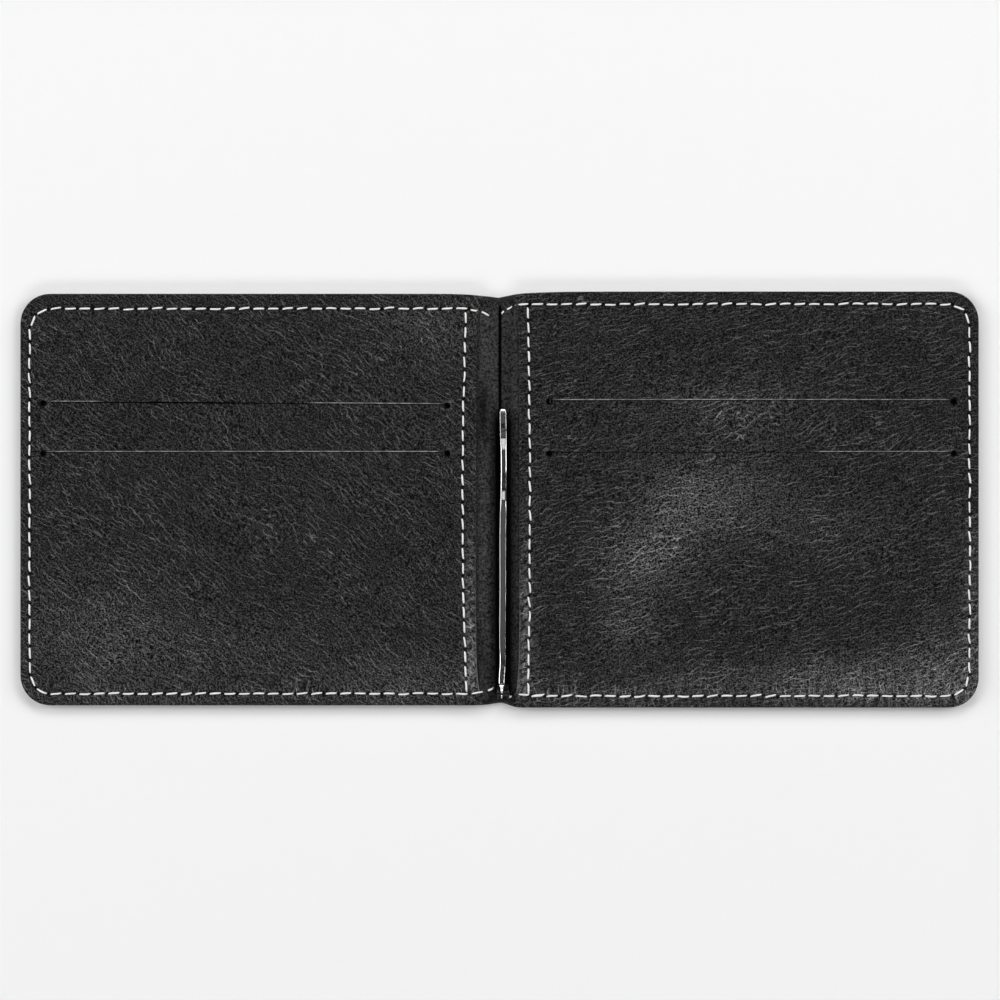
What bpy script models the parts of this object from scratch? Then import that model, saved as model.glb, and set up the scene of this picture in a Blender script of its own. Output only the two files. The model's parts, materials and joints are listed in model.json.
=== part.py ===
"""Bifold money-clip wallet, lying open flat on its outer cover with the inside up.

+X runs along the open wallet, +Y towards the card slits' edge and +Z up. The origin is the middle of
the wallet's underside. Two panels fold up about axes along Y beside the spine, and the clip arm swings
up about a pin across the spine's lower end. Lengths are in millimetres until MM turns them into metres.
"""

import math

import bmesh
import bpy

MM = 0.001

# Outline of the open wallet
HALF_LENGTH = 105.5
HALF_HEIGHT = {"left": 45.3, "right": 45.8}
SPINE_HALF_HEIGHT = 44.6
CORNER_RADIUS = 6.6
WAIST_LENGTH = 4.5

# Folds between the panels and the spine
FOLD_X = {"left": -4.3, "right": 4.0}
FOLD_Z = 2.2
FOLD_GAP = 0.15

# Thickness of each layer, and the gap between two layers that touch
GAP = 0.15
COVER = 1.1
SPINE_COVER = 0.8
BOARD = 0.35
LINING = 0.12
CARD_SPACE = 0.16
FACE = 0.7
STRIP = 0.4
FLAP = 0.25

# Heights of the layers above the table
BOARD_Z = COVER + GAP
FLAP_Z = COVER + GAP
FACE_RIM_Z = FLAP_Z + FLAP + GAP
UPPER_POCKET_Z = BOARD_Z + BOARD + GAP
LOWER_POCKET_Z = UPPER_POCKET_Z + 2 * LINING + CARD_SPACE + GAP
FACE_Z = LOWER_POCKET_Z + 2 * LINING + CARD_SPACE + GAP
STRIP_Z = 1.7

# Faces: flat rim, slope and raised middle, as distances in from the edge. The rim is wider at the fold
FACE_EDGE = 0.2
SLOPE_START = 2.7
SLOPE_END = 4.8
FOLD_RIM_RATIO = 1.4

# Card slits: middle between their end holes, length between those holes
SLIT_LENGTH = 88.9
SLIT_MIDDLE_X = {"left": -55.9, "right": 55.4}
UPPER_SLIT_Y = 21.8
LOWER_SLIT_Y = 10.4
SLIT_WIDTH = 0.3
SLIT_HOLE_RADIUS = 0.62

# Pocket linings and boards
POCKET_BACK_RISE = 5.5
UPPER_POCKET_BOTTOM = -33.0
LOWER_POCKET_BOTTOM = -40.2
BOARD_INNER_MARGIN = 7.0
BOARD_OUTER_MARGIN = 7.5
FLAP_WIDTH = 4.4
FLAP_END_MARGIN = 2.6
STRIP_END_MARGIN = 1.1

# Threads
THREAD_RADIUS = 0.22
THREAD_INSET = 2.3
THREAD_LIFT = 0.06
SEAM_OFFSET = 3.3
SEAM_END_MARGIN = 4.0
THREAD_FOLD_MARGIN = 0.8

# Clip
CLIP_X = 0.77
PIN_Y = -42.6
PIN_Z = 2.9
PIN_RADIUS = 0.6
PIN_OVERHANG = 0.07
BORE_RADIUS = 0.65
KNUCKLE_RADIUS = 1.1
ARM_WIDTH = 1.36
ARM_END_Y = 20.1
ARM_BOTTOM_Z = 2.4
ARM_TOP_Z = 4.3
ARM_EDGE = 0.22
EAR_GAP = 1.9
EAR_THICKNESS = 0.35
EAR_HALF_LENGTH = 1.2
BASE_WIDTH = 2.6
BASE_THICKNESS = 0.4
BASE_Z = 0.9
BASE_TOP_Y = 24.0
BASE_BOTTOM_Y = -44.0
SPRING_WIDTH = 1.2
SPRING_THICKNESS = 0.2
SPRING_Z = 1.4
SPRING_TOP_Y = -36.5
SLOT_HALF_WIDTH = 1.5
SLOT_TOP_Y = -40.6

ARC_STEPS = 8
SIDES = ("left", "right")
SIGN = {"left": -1.0, "right": 1.0}


def clear_scene():
    for old in list(bpy.data.objects):
        bpy.data.objects.remove(old, do_unlink=True)


def new_material(name, colour, roughness, metallic):
    material = bpy.data.materials.new(name)
    material.use_nodes = True
    shader = material.node_tree.nodes["Principled BSDF"]
    shader.inputs["Base Color"].default_value = (*colour, 1.0)
    shader.inputs["Roughness"].default_value = roughness
    shader.inputs["Metallic"].default_value = metallic
    return material


def black_leather():
    return new_material("black_leather", (0.026, 0.026, 0.026), 0.45, 0.0)


def black_suede():
    return new_material("black_suede", (0.022, 0.022, 0.022), 0.95, 0.0)


def white_thread():
    return new_material("white_thread", (0.8, 0.8, 0.78), 0.7, 0.0)


def grey_board():
    return new_material("grey_board", (0.25, 0.24, 0.22), 0.9, 0.0)


def black_lining():
    return new_material("black_lining", (0.02, 0.02, 0.02), 0.85, 0.0)


def polished_steel():
    return new_material("polished_steel", (0.72, 0.72, 0.72), 0.12, 1.0)


def spring_steel():
    return new_material("spring_steel", (0.3, 0.3, 0.3), 0.3, 1.0)


def new_axis(name, location):
    """An empty on a joint's axis. The pieces that move about it are its children."""
    axis = bpy.data.objects.new(name, None)
    axis.location = [value * MM for value in location]
    bpy.context.scene.collection.objects.link(axis)
    return axis


def new_piece(name, points, faces, material, axis):
    """A mesh object under a joint's empty, from points given in the wallet's own frame."""
    mesh = bpy.data.meshes.new(name)
    home = axis.location
    mesh.from_pydata([[p * MM - h for p, h in zip(point, home)] for point in points], [], faces)
    work = bmesh.new()
    work.from_mesh(mesh)
    bmesh.ops.recalc_face_normals(work, faces=work.faces)
    work.to_mesh(mesh)
    work.free()
    mesh.materials.append(material)
    piece = bpy.data.objects.new(name, mesh)
    piece.parent = axis
    bpy.context.scene.collection.objects.link(piece)
    return piece


def prism(outline, low, high, across):
    """Points and faces of an outline carried straight from low to high along the axis named across."""
    count = len(outline)
    if across == "z":
        points = [(a, b, level) for level in (low, high) for a, b in outline]
    else:
        points = [(level, a, b) for level in (low, high) for a, b in outline]
    sides = [(i, (i + 1) % count, (i + 1) % count + count, i + count) for i in range(count)]
    return points, [tuple(range(count)), tuple(range(count, 2 * count)), *sides]


def arc(centre, radius, start, stop, steps):
    """Points from angle start to angle stop, in degrees, on a circle."""
    angles = [math.radians(start + (stop - start) * i / steps) for i in range(steps + 1)]
    return [(centre[0] + radius * math.cos(a), centre[1] + radius * math.sin(a)) for a in angles]


def panel_outline(side, inset):
    """A panel's edge, moved in by inset: round outer corners, and a waist that dips at the fold."""
    outer = HALF_LENGTH - inset
    height = HALF_HEIGHT[side] - inset
    waist = SPINE_HALF_HEIGHT - inset
    inner = abs(FOLD_X[side]) + FOLD_GAP + inset * FOLD_RIM_RATIO
    shoulder = inner + WAIST_LENGTH
    radius = max(CORNER_RADIUS - inset, 1.0)
    corner = (outer - radius, height - radius)
    upper = [(inner, waist), (shoulder, height), *arc(corner, radius, 90, 0, ARC_STEPS)]
    lower = [(x, -y) for x, y in reversed(upper)]
    return [(SIGN[side] * x, y) for x, y in upper + lower]


def box_outline(x_low, x_high, y_low, y_high):
    return [(x_low, y_low), (x_high, y_low), (x_high, y_high), (x_low, y_high)]


def cover_piece(side, material, axis):
    points, faces = prism(panel_outline(side, 0.0), 0.0, COVER, "z")
    return new_piece(f"{side}_cover", points, faces, material, axis)


def spine_cover_piece(material, axis):
    outline = box_outline(
        FOLD_X["left"] + FOLD_GAP, FOLD_X["right"] - FOLD_GAP, -SPINE_HALF_HEIGHT, SPINE_HALF_HEIGHT
    )
    points, faces = prism(outline, 0.0, SPINE_COVER, "z")
    return new_piece("spine_cover", points, faces, material, axis)


def board_piece(side, material, axis):
    """Stiffener board between the cover and the pockets."""
    inner = abs(FOLD_X[side]) + BOARD_INNER_MARGIN
    outer = HALF_LENGTH - BOARD_OUTER_MARGIN
    height = HALF_HEIGHT[side] - BOARD_OUTER_MARGIN
    points, faces = prism(
        box_outline(SIGN[side] * inner, SIGN[side] * outer, -height, height), BOARD_Z, BOARD_Z + BOARD, "z"
    )
    return new_piece(f"{side}_stiffener", points, faces, material, axis)


def slit_cutter(side, level, y, axis):
    """A card slit with a round hole at each end, as one upright prism through the face."""
    half = SLIT_LENGTH / 2
    middle = SLIT_MIDDLE_X[side]
    opening = math.degrees(math.asin(SLIT_WIDTH / 2 / SLIT_HOLE_RADIUS))
    right_end = arc((middle + half, y), SLIT_HOLE_RADIUS, opening - 180, 180 - opening, 2 * ARC_STEPS)
    left_end = arc((middle - half, y), SLIT_HOLE_RADIUS, opening, 360 - opening, 2 * ARC_STEPS)
    points, faces = prism(right_end + left_end, FACE_RIM_Z - 1.0, FACE_Z + FACE + 1.0, "z")
    cutter = new_piece(f"{side}_{level}_slit_cutter", points, faces, None, axis)
    cutter.hide_render = True
    cutter.display_type = "WIRE"
    return cutter


def add_boolean(piece, cutter, operation):
    change = piece.modifiers.new(cutter.name, "BOOLEAN")
    change.operation = operation
    change.solver = "EXACT"
    change.object = cutter


def face_piece(side, material, axis):
    """Inner leather: a flat sewn rim that slopes up to a flat middle over the pockets."""
    levels = [(FACE_EDGE, FACE_RIM_Z), (SLOPE_START, FACE_RIM_Z), (SLOPE_END, FACE_Z)]
    loops = [(inset, z + FACE) for inset, z in levels]
    loops = [*reversed(levels), *loops]
    points = [(x, y, z) for inset, z in loops for x, y in panel_outline(side, inset)]
    count = len(panel_outline(side, 0.0))
    faces = [tuple(range(count)), tuple(range(len(points) - count, len(points)))]
    for row in range(len(loops) - 1):
        low = row * count
        high = low + count
        faces += [
            (low + i, low + (i + 1) % count, high + (i + 1) % count, high + i) for i in range(count)
        ]
    piece = new_piece(f"{side}_face", points, faces, material, axis)
    for level, y in (("upper", UPPER_SLIT_Y), ("lower", LOWER_SLIT_Y)):
        add_boolean(piece, slit_cutter(side, level, y, axis), "DIFFERENCE")
    return piece


def pocket_piece(side, level, slit_y, bottom_y, z, material, axis):
    """A lining folded once along its bottom: a back leaf past the slit, and a front leaf up to it."""
    back_top = slit_y + POCKET_BACK_RISE
    front_top = slit_y - SLIT_WIDTH - 0.3
    front = z + LINING + CARD_SPACE
    outline = [
        (back_top, z),
        (bottom_y, z),
        (bottom_y, front + LINING),
        (front_top, front + LINING),
        (front_top, front),
        (bottom_y + LINING, front),
        (bottom_y + LINING, z + LINING),
        (back_top, z + LINING),
    ]
    half = SLIT_LENGTH / 2
    middle = SLIT_MIDDLE_X[side]
    points, faces = prism(outline, middle - half, middle + half, "x")
    return new_piece(f"{side}_{level}_pocket", points, faces, material, axis)


def strip_piece(material, axis):
    """Lining of the spine, notched at its lower end where the clip's ears come through."""
    low_x = FOLD_X["left"] + FOLD_GAP
    high_x = FOLD_X["right"] - FOLD_GAP
    end = SPINE_HALF_HEIGHT - STRIP_END_MARGIN
    outline = [
        (low_x, -end),
        (CLIP_X - SLOT_HALF_WIDTH, -end),
        (CLIP_X - SLOT_HALF_WIDTH, SLOT_TOP_Y),
        (CLIP_X + SLOT_HALF_WIDTH, SLOT_TOP_Y),
        (CLIP_X + SLOT_HALF_WIDTH, -end),
        (high_x, -end),
        (high_x, end),
        (low_x, end),
    ]
    points, faces = prism(outline, STRIP_Z, STRIP_Z + STRIP, "z")
    return new_piece("spine_strip", points, faces, material, axis)


def flap_piece(side, material, axis):
    """The strip's edge, sewn in under a face."""
    inner = abs(FOLD_X[side]) + FOLD_GAP
    height = HALF_HEIGHT[side] - FLAP_END_MARGIN
    outline = box_outline(SIGN[side] * inner, SIGN[side] * (inner + FLAP_WIDTH), -height, height)
    points, faces = prism(outline, FLAP_Z, FLAP_Z + FLAP, "z")
    return new_piece(f"{side}_strip_flap", points, faces, material, axis)


def thread_piece(name, route, z, material, axis):
    """A round thread laid along a route at one height, with closed ends."""
    curve = bpy.data.curves.new(name, "CURVE")
    curve.dimensions = "3D"
    curve.bevel_depth = THREAD_RADIUS * MM
    curve.bevel_resolution = 1
    curve.use_fill_caps = True
    spline = curve.splines.new("POLY")
    spline.points.add(len(route) - 1)
    home = axis.location
    for point, (x, y) in zip(spline.points, route):
        point.co = (x * MM - home.x, y * MM - home.y, z * MM - home.z, 1.0)
    curve.materials.append(material)
    piece = bpy.data.objects.new(name, curve)
    piece.parent = axis
    bpy.context.scene.collection.objects.link(piece)
    return piece


def perimeter_thread(side, material, axis):
    """Row along a panel's three free edges, from the fold round to the fold again."""
    route = panel_outline(side, THREAD_INSET)
    start_x = FOLD_X[side] + SIGN[side] * THREAD_FOLD_MARGIN
    waist = SPINE_HALF_HEIGHT - THREAD_INSET
    route[0] = (start_x, waist)
    route[-1] = (start_x, -waist)
    height = FACE_RIM_Z + FACE + THREAD_LIFT + THREAD_RADIUS
    return thread_piece(f"{side}_perimeter_thread", route, height, material, axis)


def seam_thread(side, material, axis):
    """Straight row beside the fold, through the face, the strip's flap and the cover."""
    x = FOLD_X[side] + SIGN[side] * SEAM_OFFSET
    end = HALF_HEIGHT[side] - SEAM_END_MARGIN
    height = FACE_RIM_Z + FACE + THREAD_LIFT + THREAD_RADIUS
    return thread_piece(f"{side}_seam_thread", [(x, -end), (x, end)], height, material, axis)


def spine_threads(material, axis):
    """Rows that cross the spine at both ends. The lower row breaks at the clip's ears."""
    y = SPINE_HALF_HEIGHT - THREAD_INSET
    height = STRIP_Z + STRIP + THREAD_LIFT + THREAD_RADIUS
    low_x = FOLD_X["left"] + THREAD_FOLD_MARGIN
    high_x = FOLD_X["right"] - THREAD_FOLD_MARGIN
    left_stop = CLIP_X - SLOT_HALF_WIDTH - THREAD_RADIUS
    right_start = CLIP_X + SLOT_HALF_WIDTH + THREAD_RADIUS
    thread_piece("spine_top_thread", [(low_x, y), (high_x, y)], height, material, axis)
    thread_piece("spine_bottom_left_thread", [(low_x, -y), (left_stop, -y)], height, material, axis)
    thread_piece("spine_bottom_right_thread", [(right_start, -y), (high_x, -y)], height, material, axis)


def pin_cylinder(name, radius, half_length, material, axis):
    """A cylinder along X on the hinge pin's line."""
    outline = arc((PIN_Y, PIN_Z), radius, 0, 360 - 360 / 32, 31)
    points, faces = prism(outline, CLIP_X - half_length, CLIP_X + half_length, "x")
    return new_piece(name, points, faces, material, axis)


def bore_cutter(name, axis):
    cutter = pin_cylinder(name, BORE_RADIUS, EAR_GAP, None, axis)
    cutter.hide_render = True
    cutter.display_type = "WIRE"
    return cutter


def hinge_pin_piece(material, axis):
    half_length = EAR_GAP / 2 + EAR_THICKNESS + PIN_OVERHANG
    pin = pin_cylinder("hinge_pin", PIN_RADIUS, half_length, material, axis)
    pin.data.shade_smooth()
    pin.data.set_sharp_from_angle(angle=math.radians(40))
    return pin


def ear_shape(name, x_low, axis):
    """A round-topped ear that starts inside the base plate."""
    top = arc((PIN_Y, PIN_Z), EAR_HALF_LENGTH, 0, 180, 2 * ARC_STEPS)
    foot = BASE_Z + BASE_THICKNESS / 2
    outline = [(PIN_Y + EAR_HALF_LENGTH, foot), *top, (PIN_Y - EAR_HALF_LENGTH, foot)]
    points, faces = prism(outline, x_low, x_low + EAR_THICKNESS, "x")
    ear = new_piece(name, points, faces, None, axis)
    ear.hide_render = True
    ear.display_type = "WIRE"
    return ear


def clip_base_piece(material, axis):
    """Plate under the spine's lining, with two ears for the pin at its lower end."""
    outline = box_outline(CLIP_X - BASE_WIDTH / 2, CLIP_X + BASE_WIDTH / 2, BASE_BOTTOM_Y, BASE_TOP_Y)
    points, faces = prism(outline, BASE_Z, BASE_Z + BASE_THICKNESS, "z")
    base = new_piece("clip_base", points, faces, material, axis)
    add_boolean(base, ear_shape("left_ear_shape", CLIP_X - EAR_GAP / 2 - EAR_THICKNESS, axis), "UNION")
    add_boolean(base, ear_shape("right_ear_shape", CLIP_X + EAR_GAP / 2, axis), "UNION")
    add_boolean(base, bore_cutter("base_bore_cutter", axis), "DIFFERENCE")
    return base


def leaf_spring_piece(material, axis):
    """Flat steel leaf on the base plate, under the arm's knuckle."""
    bottom = PIN_Y - EAR_HALF_LENGTH
    outline = box_outline(CLIP_X - SPRING_WIDTH / 2, CLIP_X + SPRING_WIDTH / 2, bottom, SPRING_TOP_Y)
    points, faces = prism(outline, SPRING_Z, SPRING_Z + SPRING_THICKNESS, "z")
    return new_piece("leaf_spring", points, faces, material, axis)


def arm_outline():
    """Side view of the arm, as Y and Z: a knuckle on the pin, a long blade and a rounded free end."""
    radius = (ARM_TOP_Z - ARM_BOTTOM_Z) / 2
    knuckle = arc((PIN_Y, PIN_Z), KNUCKLE_RADIUS, 330, 65, 3 * ARC_STEPS)
    shoulder = [(PIN_Y + 4.5, ARM_TOP_Z)]
    end = arc((ARM_END_Y - radius, ARM_BOTTOM_Z + radius), radius, 90, -90, 2 * ARC_STEPS)
    return [*knuckle, *shoulder, *end]


def clip_arm_piece(material, axis):
    points, faces = prism(arm_outline(), CLIP_X - ARM_WIDTH / 2, CLIP_X + ARM_WIDTH / 2, "x")
    arm = new_piece("clip_arm", points, faces, material, axis)
    edge = arm.modifiers.new("rounded_edges", "BEVEL")
    edge.width = ARM_EDGE * MM
    edge.segments = 2
    edge.limit_method = "ANGLE"
    edge.angle_limit = math.radians(40)
    add_boolean(arm, bore_cutter("arm_bore_cutter", axis), "DIFFERENCE")
    arm.data.shade_smooth()
    arm.data.set_sharp_from_angle(angle=math.radians(40))
    return arm


def build_panel(side, leather, suede, thread, board, lining):
    axis = new_axis(f"{side}_fold_axis", (FOLD_X[side], 0.0, FOLD_Z))
    cover_piece(side, leather, axis)
    board_piece(side, board, axis)
    pocket_piece(side, "upper", UPPER_SLIT_Y, UPPER_POCKET_BOTTOM, UPPER_POCKET_Z, lining, axis)
    pocket_piece(side, "lower", LOWER_SLIT_Y, LOWER_POCKET_BOTTOM, LOWER_POCKET_Z, lining, axis)
    flap_piece(side, suede, axis)
    face_piece(side, leather, axis)
    perimeter_thread(side, thread, axis)
    seam_thread(side, thread, axis)


def build_spine(leather, suede, thread, plate, steel):
    axis = new_axis("spine_base", (0.0, 0.0, 0.0))
    spine_cover_piece(leather, axis)
    clip_base_piece(plate, axis)
    leaf_spring_piece(plate, axis)
    strip_piece(suede, axis)
    hinge_pin_piece(steel, axis)
    spine_threads(thread, axis)


def build_wallet():
    leather = black_leather()
    suede = black_suede()
    thread = white_thread()
    board = grey_board()
    lining = black_lining()
    steel = polished_steel()
    for side in SIDES:
        build_panel(side, leather, suede, thread, board, lining)
    build_spine(leather, suede, thread, spring_steel(), steel)
    clip_arm_piece(steel, new_axis("clip_swing_axis", (CLIP_X, PIN_Y, PIN_Z)))


clear_scene()
build_wallet()
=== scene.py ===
import json
import math

import bpy
import numpy as np
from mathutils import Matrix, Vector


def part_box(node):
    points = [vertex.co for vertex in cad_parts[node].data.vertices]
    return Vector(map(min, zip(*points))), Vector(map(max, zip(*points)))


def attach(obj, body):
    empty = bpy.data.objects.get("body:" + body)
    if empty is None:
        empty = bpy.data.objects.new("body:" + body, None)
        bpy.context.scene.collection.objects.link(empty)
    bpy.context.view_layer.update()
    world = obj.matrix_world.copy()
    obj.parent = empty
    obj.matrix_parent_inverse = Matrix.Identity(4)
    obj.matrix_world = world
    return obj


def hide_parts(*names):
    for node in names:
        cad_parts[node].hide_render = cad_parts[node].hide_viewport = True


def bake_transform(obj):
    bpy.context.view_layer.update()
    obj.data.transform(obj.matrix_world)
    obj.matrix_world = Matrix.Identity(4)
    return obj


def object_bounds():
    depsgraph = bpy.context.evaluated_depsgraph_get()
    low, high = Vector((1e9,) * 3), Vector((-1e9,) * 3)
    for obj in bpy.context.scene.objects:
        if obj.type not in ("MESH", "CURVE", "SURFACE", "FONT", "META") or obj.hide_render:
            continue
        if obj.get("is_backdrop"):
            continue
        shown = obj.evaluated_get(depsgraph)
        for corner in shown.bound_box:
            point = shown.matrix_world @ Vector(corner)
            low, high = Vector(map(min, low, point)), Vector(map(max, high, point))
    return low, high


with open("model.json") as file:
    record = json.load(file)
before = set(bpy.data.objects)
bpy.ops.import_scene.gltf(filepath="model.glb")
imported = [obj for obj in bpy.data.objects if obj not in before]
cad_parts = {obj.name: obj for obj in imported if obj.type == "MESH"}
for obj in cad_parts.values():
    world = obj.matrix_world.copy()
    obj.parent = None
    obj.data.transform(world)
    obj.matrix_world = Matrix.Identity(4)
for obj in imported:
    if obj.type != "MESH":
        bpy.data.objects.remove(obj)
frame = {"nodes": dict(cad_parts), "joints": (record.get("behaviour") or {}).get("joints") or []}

# A bifold money-clip wallet that lies open with its inside up. Lengths here are millimetres, and
# putMesh turns them into metres.

cadLow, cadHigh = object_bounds()
mm = 0.001
sides = {"left": -1.0, "right": 1.0}
print("frame loaded with", len(frame["nodes"]), "nodes")


def boxOf(node):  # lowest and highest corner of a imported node
    low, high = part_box(node)
    return np.array(low) / mm, np.array(high) / mm


def jointPlace(name):  # where a joint's axis passes
    joint = next(j for j in frame["joints"] if j["name"] == name)
    return np.array(joint["pos_m"]) / mm


def ease(t):  # 0 to 1 with level ends: 3t^2 - 2t^3
    t = np.clip(t, 0.0, 1.0)
    return t * t * (3.0 - 2.0 * t)


def bell(distance, width):  # a bump of height 1 that has faded at about twice its width
    return np.exp(-((distance / width) ** 2))


def ripple(x, y, wavelength, seed, waves=14):
    # Smooth random field of about unit size: plane waves in random directions, near one wavelength.
    rng = np.random.default_rng(seed)
    angle = rng.uniform(0.0, 2.0 * math.pi, waves)
    phase = rng.uniform(0.0, 2.0 * math.pi, waves)
    number = 2.0 * math.pi / (wavelength * rng.uniform(0.7, 1.6, waves))
    total = np.zeros(np.broadcast(x, y).shape)
    for a, p, n in zip(angle, phase, number):
        total += np.cos(n * (x * math.cos(a) + y * math.sin(a)) + p)
    return total / math.sqrt(waves / 2.0)


def putMesh(name, points, faces, material, uv=None, fans=None, **values):
    # Puts arrays into a mesh. faces are quads and fans are triangles. uv is one pair for each point, and
    # values are named numbers for each point. Points that no face uses are dropped.
    parts = [np.asarray(faces)] if fans is None else [np.asarray(faces), np.asarray(fans)]
    corners = np.concatenate([part.ravel() for part in parts])
    used, renumbered = np.unique(corners, return_inverse=True)
    rows, start = [], 0
    for part in parts:
        rows += renumbered[start:start + part.size].reshape(part.shape).tolist()
        start += part.size
    mesh = bpy.data.meshes.new(name)
    mesh.from_pydata((points[used] * mm).tolist(), [], rows)
    if uv is not None:
        layer = mesh.uv_layers.new(name="pattern")
        layer.data.foreach_set("uv", uv[corners].astype(np.float32).ravel())
    for key, numbers in values.items():
        attribute = mesh.attributes.new(key, "FLOAT", "POINT")
        attribute.data.foreach_set("value", numbers[used].astype(np.float32))
    mesh.shade_smooth()
    mesh.materials.append(material)
    piece = bpy.data.objects.new(name, mesh)
    bpy.context.scene.collection.objects.link(piece)
    return piece


def putSlab(name, x, y, top, under, keep, material, **fields):
    # A slab over a grid: one height for the top and one for the underside. The fields are on both.
    points = np.concatenate([np.stack([x, y, z], -1).reshape(-1, 3) for z in (top, under)])
    values = {key: np.tile(field.ravel(), 2) for key, field in fields.items()}
    slab = putMesh(name, points, slabFaces(keep), material, **values)
    markRest(slab)
    return slab


def markRest(piece):
    # Stores each point's place at rest in millimetres, so that the grain stays put as the piece bends.
    mesh = piece.data
    place = np.zeros(len(mesh.vertices) * 3, np.float32)
    mesh.vertices.foreach_get("co", place)
    attribute = mesh.attributes.new("restPlace", "FLOAT_VECTOR", "POINT")
    attribute.data.foreach_set("vector", place / mm)


def gridFaces(rows, columns, wrap=False):
    # Quads of a grid of points, numbered row by row. wrap joins the last column to the first.
    r = np.arange(rows - 1)[:, None]
    c = np.arange(columns if wrap else columns - 1)[None, :]
    n = (c + 1) % columns
    quads = [r * columns + c, r * columns + n, (r + 1) * columns + n, (r + 1) * columns + c]
    return np.stack(np.broadcast_arrays(*quads), -1).reshape(-1, 4)


def tubeFaces(rings, ring):
    # A closed tube: quads between rings of points numbered in turn, and at each end a fan to a point of
    # its own. The two end points are numbered after all the rings.
    quads = gridFaces(rings, ring, wrap=True)[:, ::-1]
    here = np.arange(ring)
    following = (here + 1) % ring
    pole = np.full(ring, rings * ring)
    lastRow = (rings - 1) * ring
    start = np.stack([here, following, pole], -1)
    stop = np.stack([lastRow + following, lastRow + here, pole + 1], -1)
    return quads, np.concatenate([start, stop])


def slabFaces(keep):
    # Faces of a slab over a grid: top and bottom of the cells kept, and a wall wherever a kept cell
    # meets a gap or the edge. Top points are numbered row by row, and the bottom ones follow them.
    rows, columns = keep.shape[0] + 1, keep.shape[1] + 1
    below = rows * columns
    r, c = np.nonzero(keep)
    a = r * columns + c
    top = np.stack([a, a + 1, a + columns + 1, a + columns], -1)
    parts = [top, top[:, ::-1] + below]
    padded = np.pad(keep, 1)
    for firstSide, secondSide, step, flip in (
        (padded[1:-1, :-1], padded[1:-1, 1:], columns, True),
        (padded[:-1, 1:-1], padded[1:, 1:-1], 1, False),
    ):
        for r, c, forward in (
            (*np.nonzero(secondSide & ~firstSide), flip),
            (*np.nonzero(firstSide & ~secondSide), not flip),
        ):
            a = r * columns + c
            b = a + step
            start, stop = (a, b) if forward else (b, a)
            parts.append(np.stack([start, stop, stop + below, start + below], -1))
    return np.concatenate(parts)


def lines(low, high, step, extra=(), fine=()):
    # Grid lines from low to high about one step apart, with extra lines, and finer ones that replace
    # the even ones near them. fine holds (middle, reach, step) for each finer stretch.
    even = np.linspace(low, high, max(2, int(round((high - low) / step)) + 1))
    kept = np.ones(len(even), bool)
    added = [np.array(extra, float)]
    for middle, reach, fineStep in fine:
        kept &= np.abs(even - middle) > reach
        count = int(round(2 * reach / fineStep)) + 1
        added.append(np.linspace(middle - reach, middle + reach, count))
    for value in extra:
        kept &= np.abs(even - value) > 0.3 * step
    kept[0] = kept[-1] = True
    together = np.sort(np.concatenate([even[kept], *added]))
    together = together[(together >= low) & (together <= high)]
    return together[np.concatenate([[True], np.diff(together) > 0.02])]


def nearEach(places, offsets):  # every place with every offset added
    return [place + offset for place in places for offset in offsets]


def edgeLines(low, high, rim):  # lines at the rim's distances in from both ends
    return [low + r for r in rim] + [high - r for r in rim]


def cellMiddles(gx, gy):  # middle of each cell between four grid points
    return (gx[:-1, 1:] + gx[:-1, :-1]) / 2.0, (gy[1:, :-1] + gy[:-1, :-1]) / 2.0


def addNode(tree, kind, inputs=None, **settings):
    made = tree.nodes.new(kind)
    for key, value in settings.items():
        setattr(made, key, value)
    for socket, value in (inputs or {}).items():
        if isinstance(value, bpy.types.NodeSocket):
            tree.links.new(value, made.inputs[socket])
        else:
            made.inputs[socket].default_value = value
    return made


def maths(tree, operation, a, b=0.0, c=0.0):
    return addNode(tree, "ShaderNodeMath", {0: a, 1: b, 2: c}, operation=operation).outputs[0]


def times(tree, first, *others):
    for other in others:
        first = maths(tree, "MULTIPLY", first, other)
    return first


def vectorMaths(tree, operation, inputs):
    return addNode(tree, "ShaderNodeVectorMath", inputs, operation=operation).outputs[0]


def noiseOf(tree, vector, scale, detail=2.0, roughness=0.5):
    sockets = {"Vector": vector, "Scale": scale, "Detail": detail, "Roughness": roughness}
    return addNode(tree, "ShaderNodeTexNoise", sockets).outputs["Fac"]


def spread(tree, value, low, high, newLow=0.0, newHigh=1.0):
    # Value from low to high becomes newLow to newHigh.
    sockets = {"Value": value, "From Min": low, "From Max": high, "To Min": newLow, "To Max": newHigh}
    return addNode(tree, "ShaderNodeMapRange", sockets, clamp=True).outputs["Result"]


def pushedBy(tree, vector, place, scale, reach):  # a vector moved about by a noise of the place
    noise = addNode(tree, "ShaderNodeTexNoise", {"Vector": place, "Scale": scale, "Detail": 2.0})
    centred = vectorMaths(tree, "ADD", {0: noise.outputs["Color"], 1: (-0.5, -0.5, -0.5)})
    step = vectorMaths(tree, "SCALE", {0: centred, "Scale": reach})
    return vectorMaths(tree, "ADD", {0: vector, 1: step})


def turnedBy(tree, vector, angle):
    return addNode(tree, "ShaderNodeVectorRotate", {"Vector": vector, "Angle": angle}).outputs[0]


def mixColour(tree, factor, first, second):
    return addNode(tree, "ShaderNodeMix", {0: factor, 6: first, 7: second}, data_type="RGBA").outputs[2]


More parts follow.
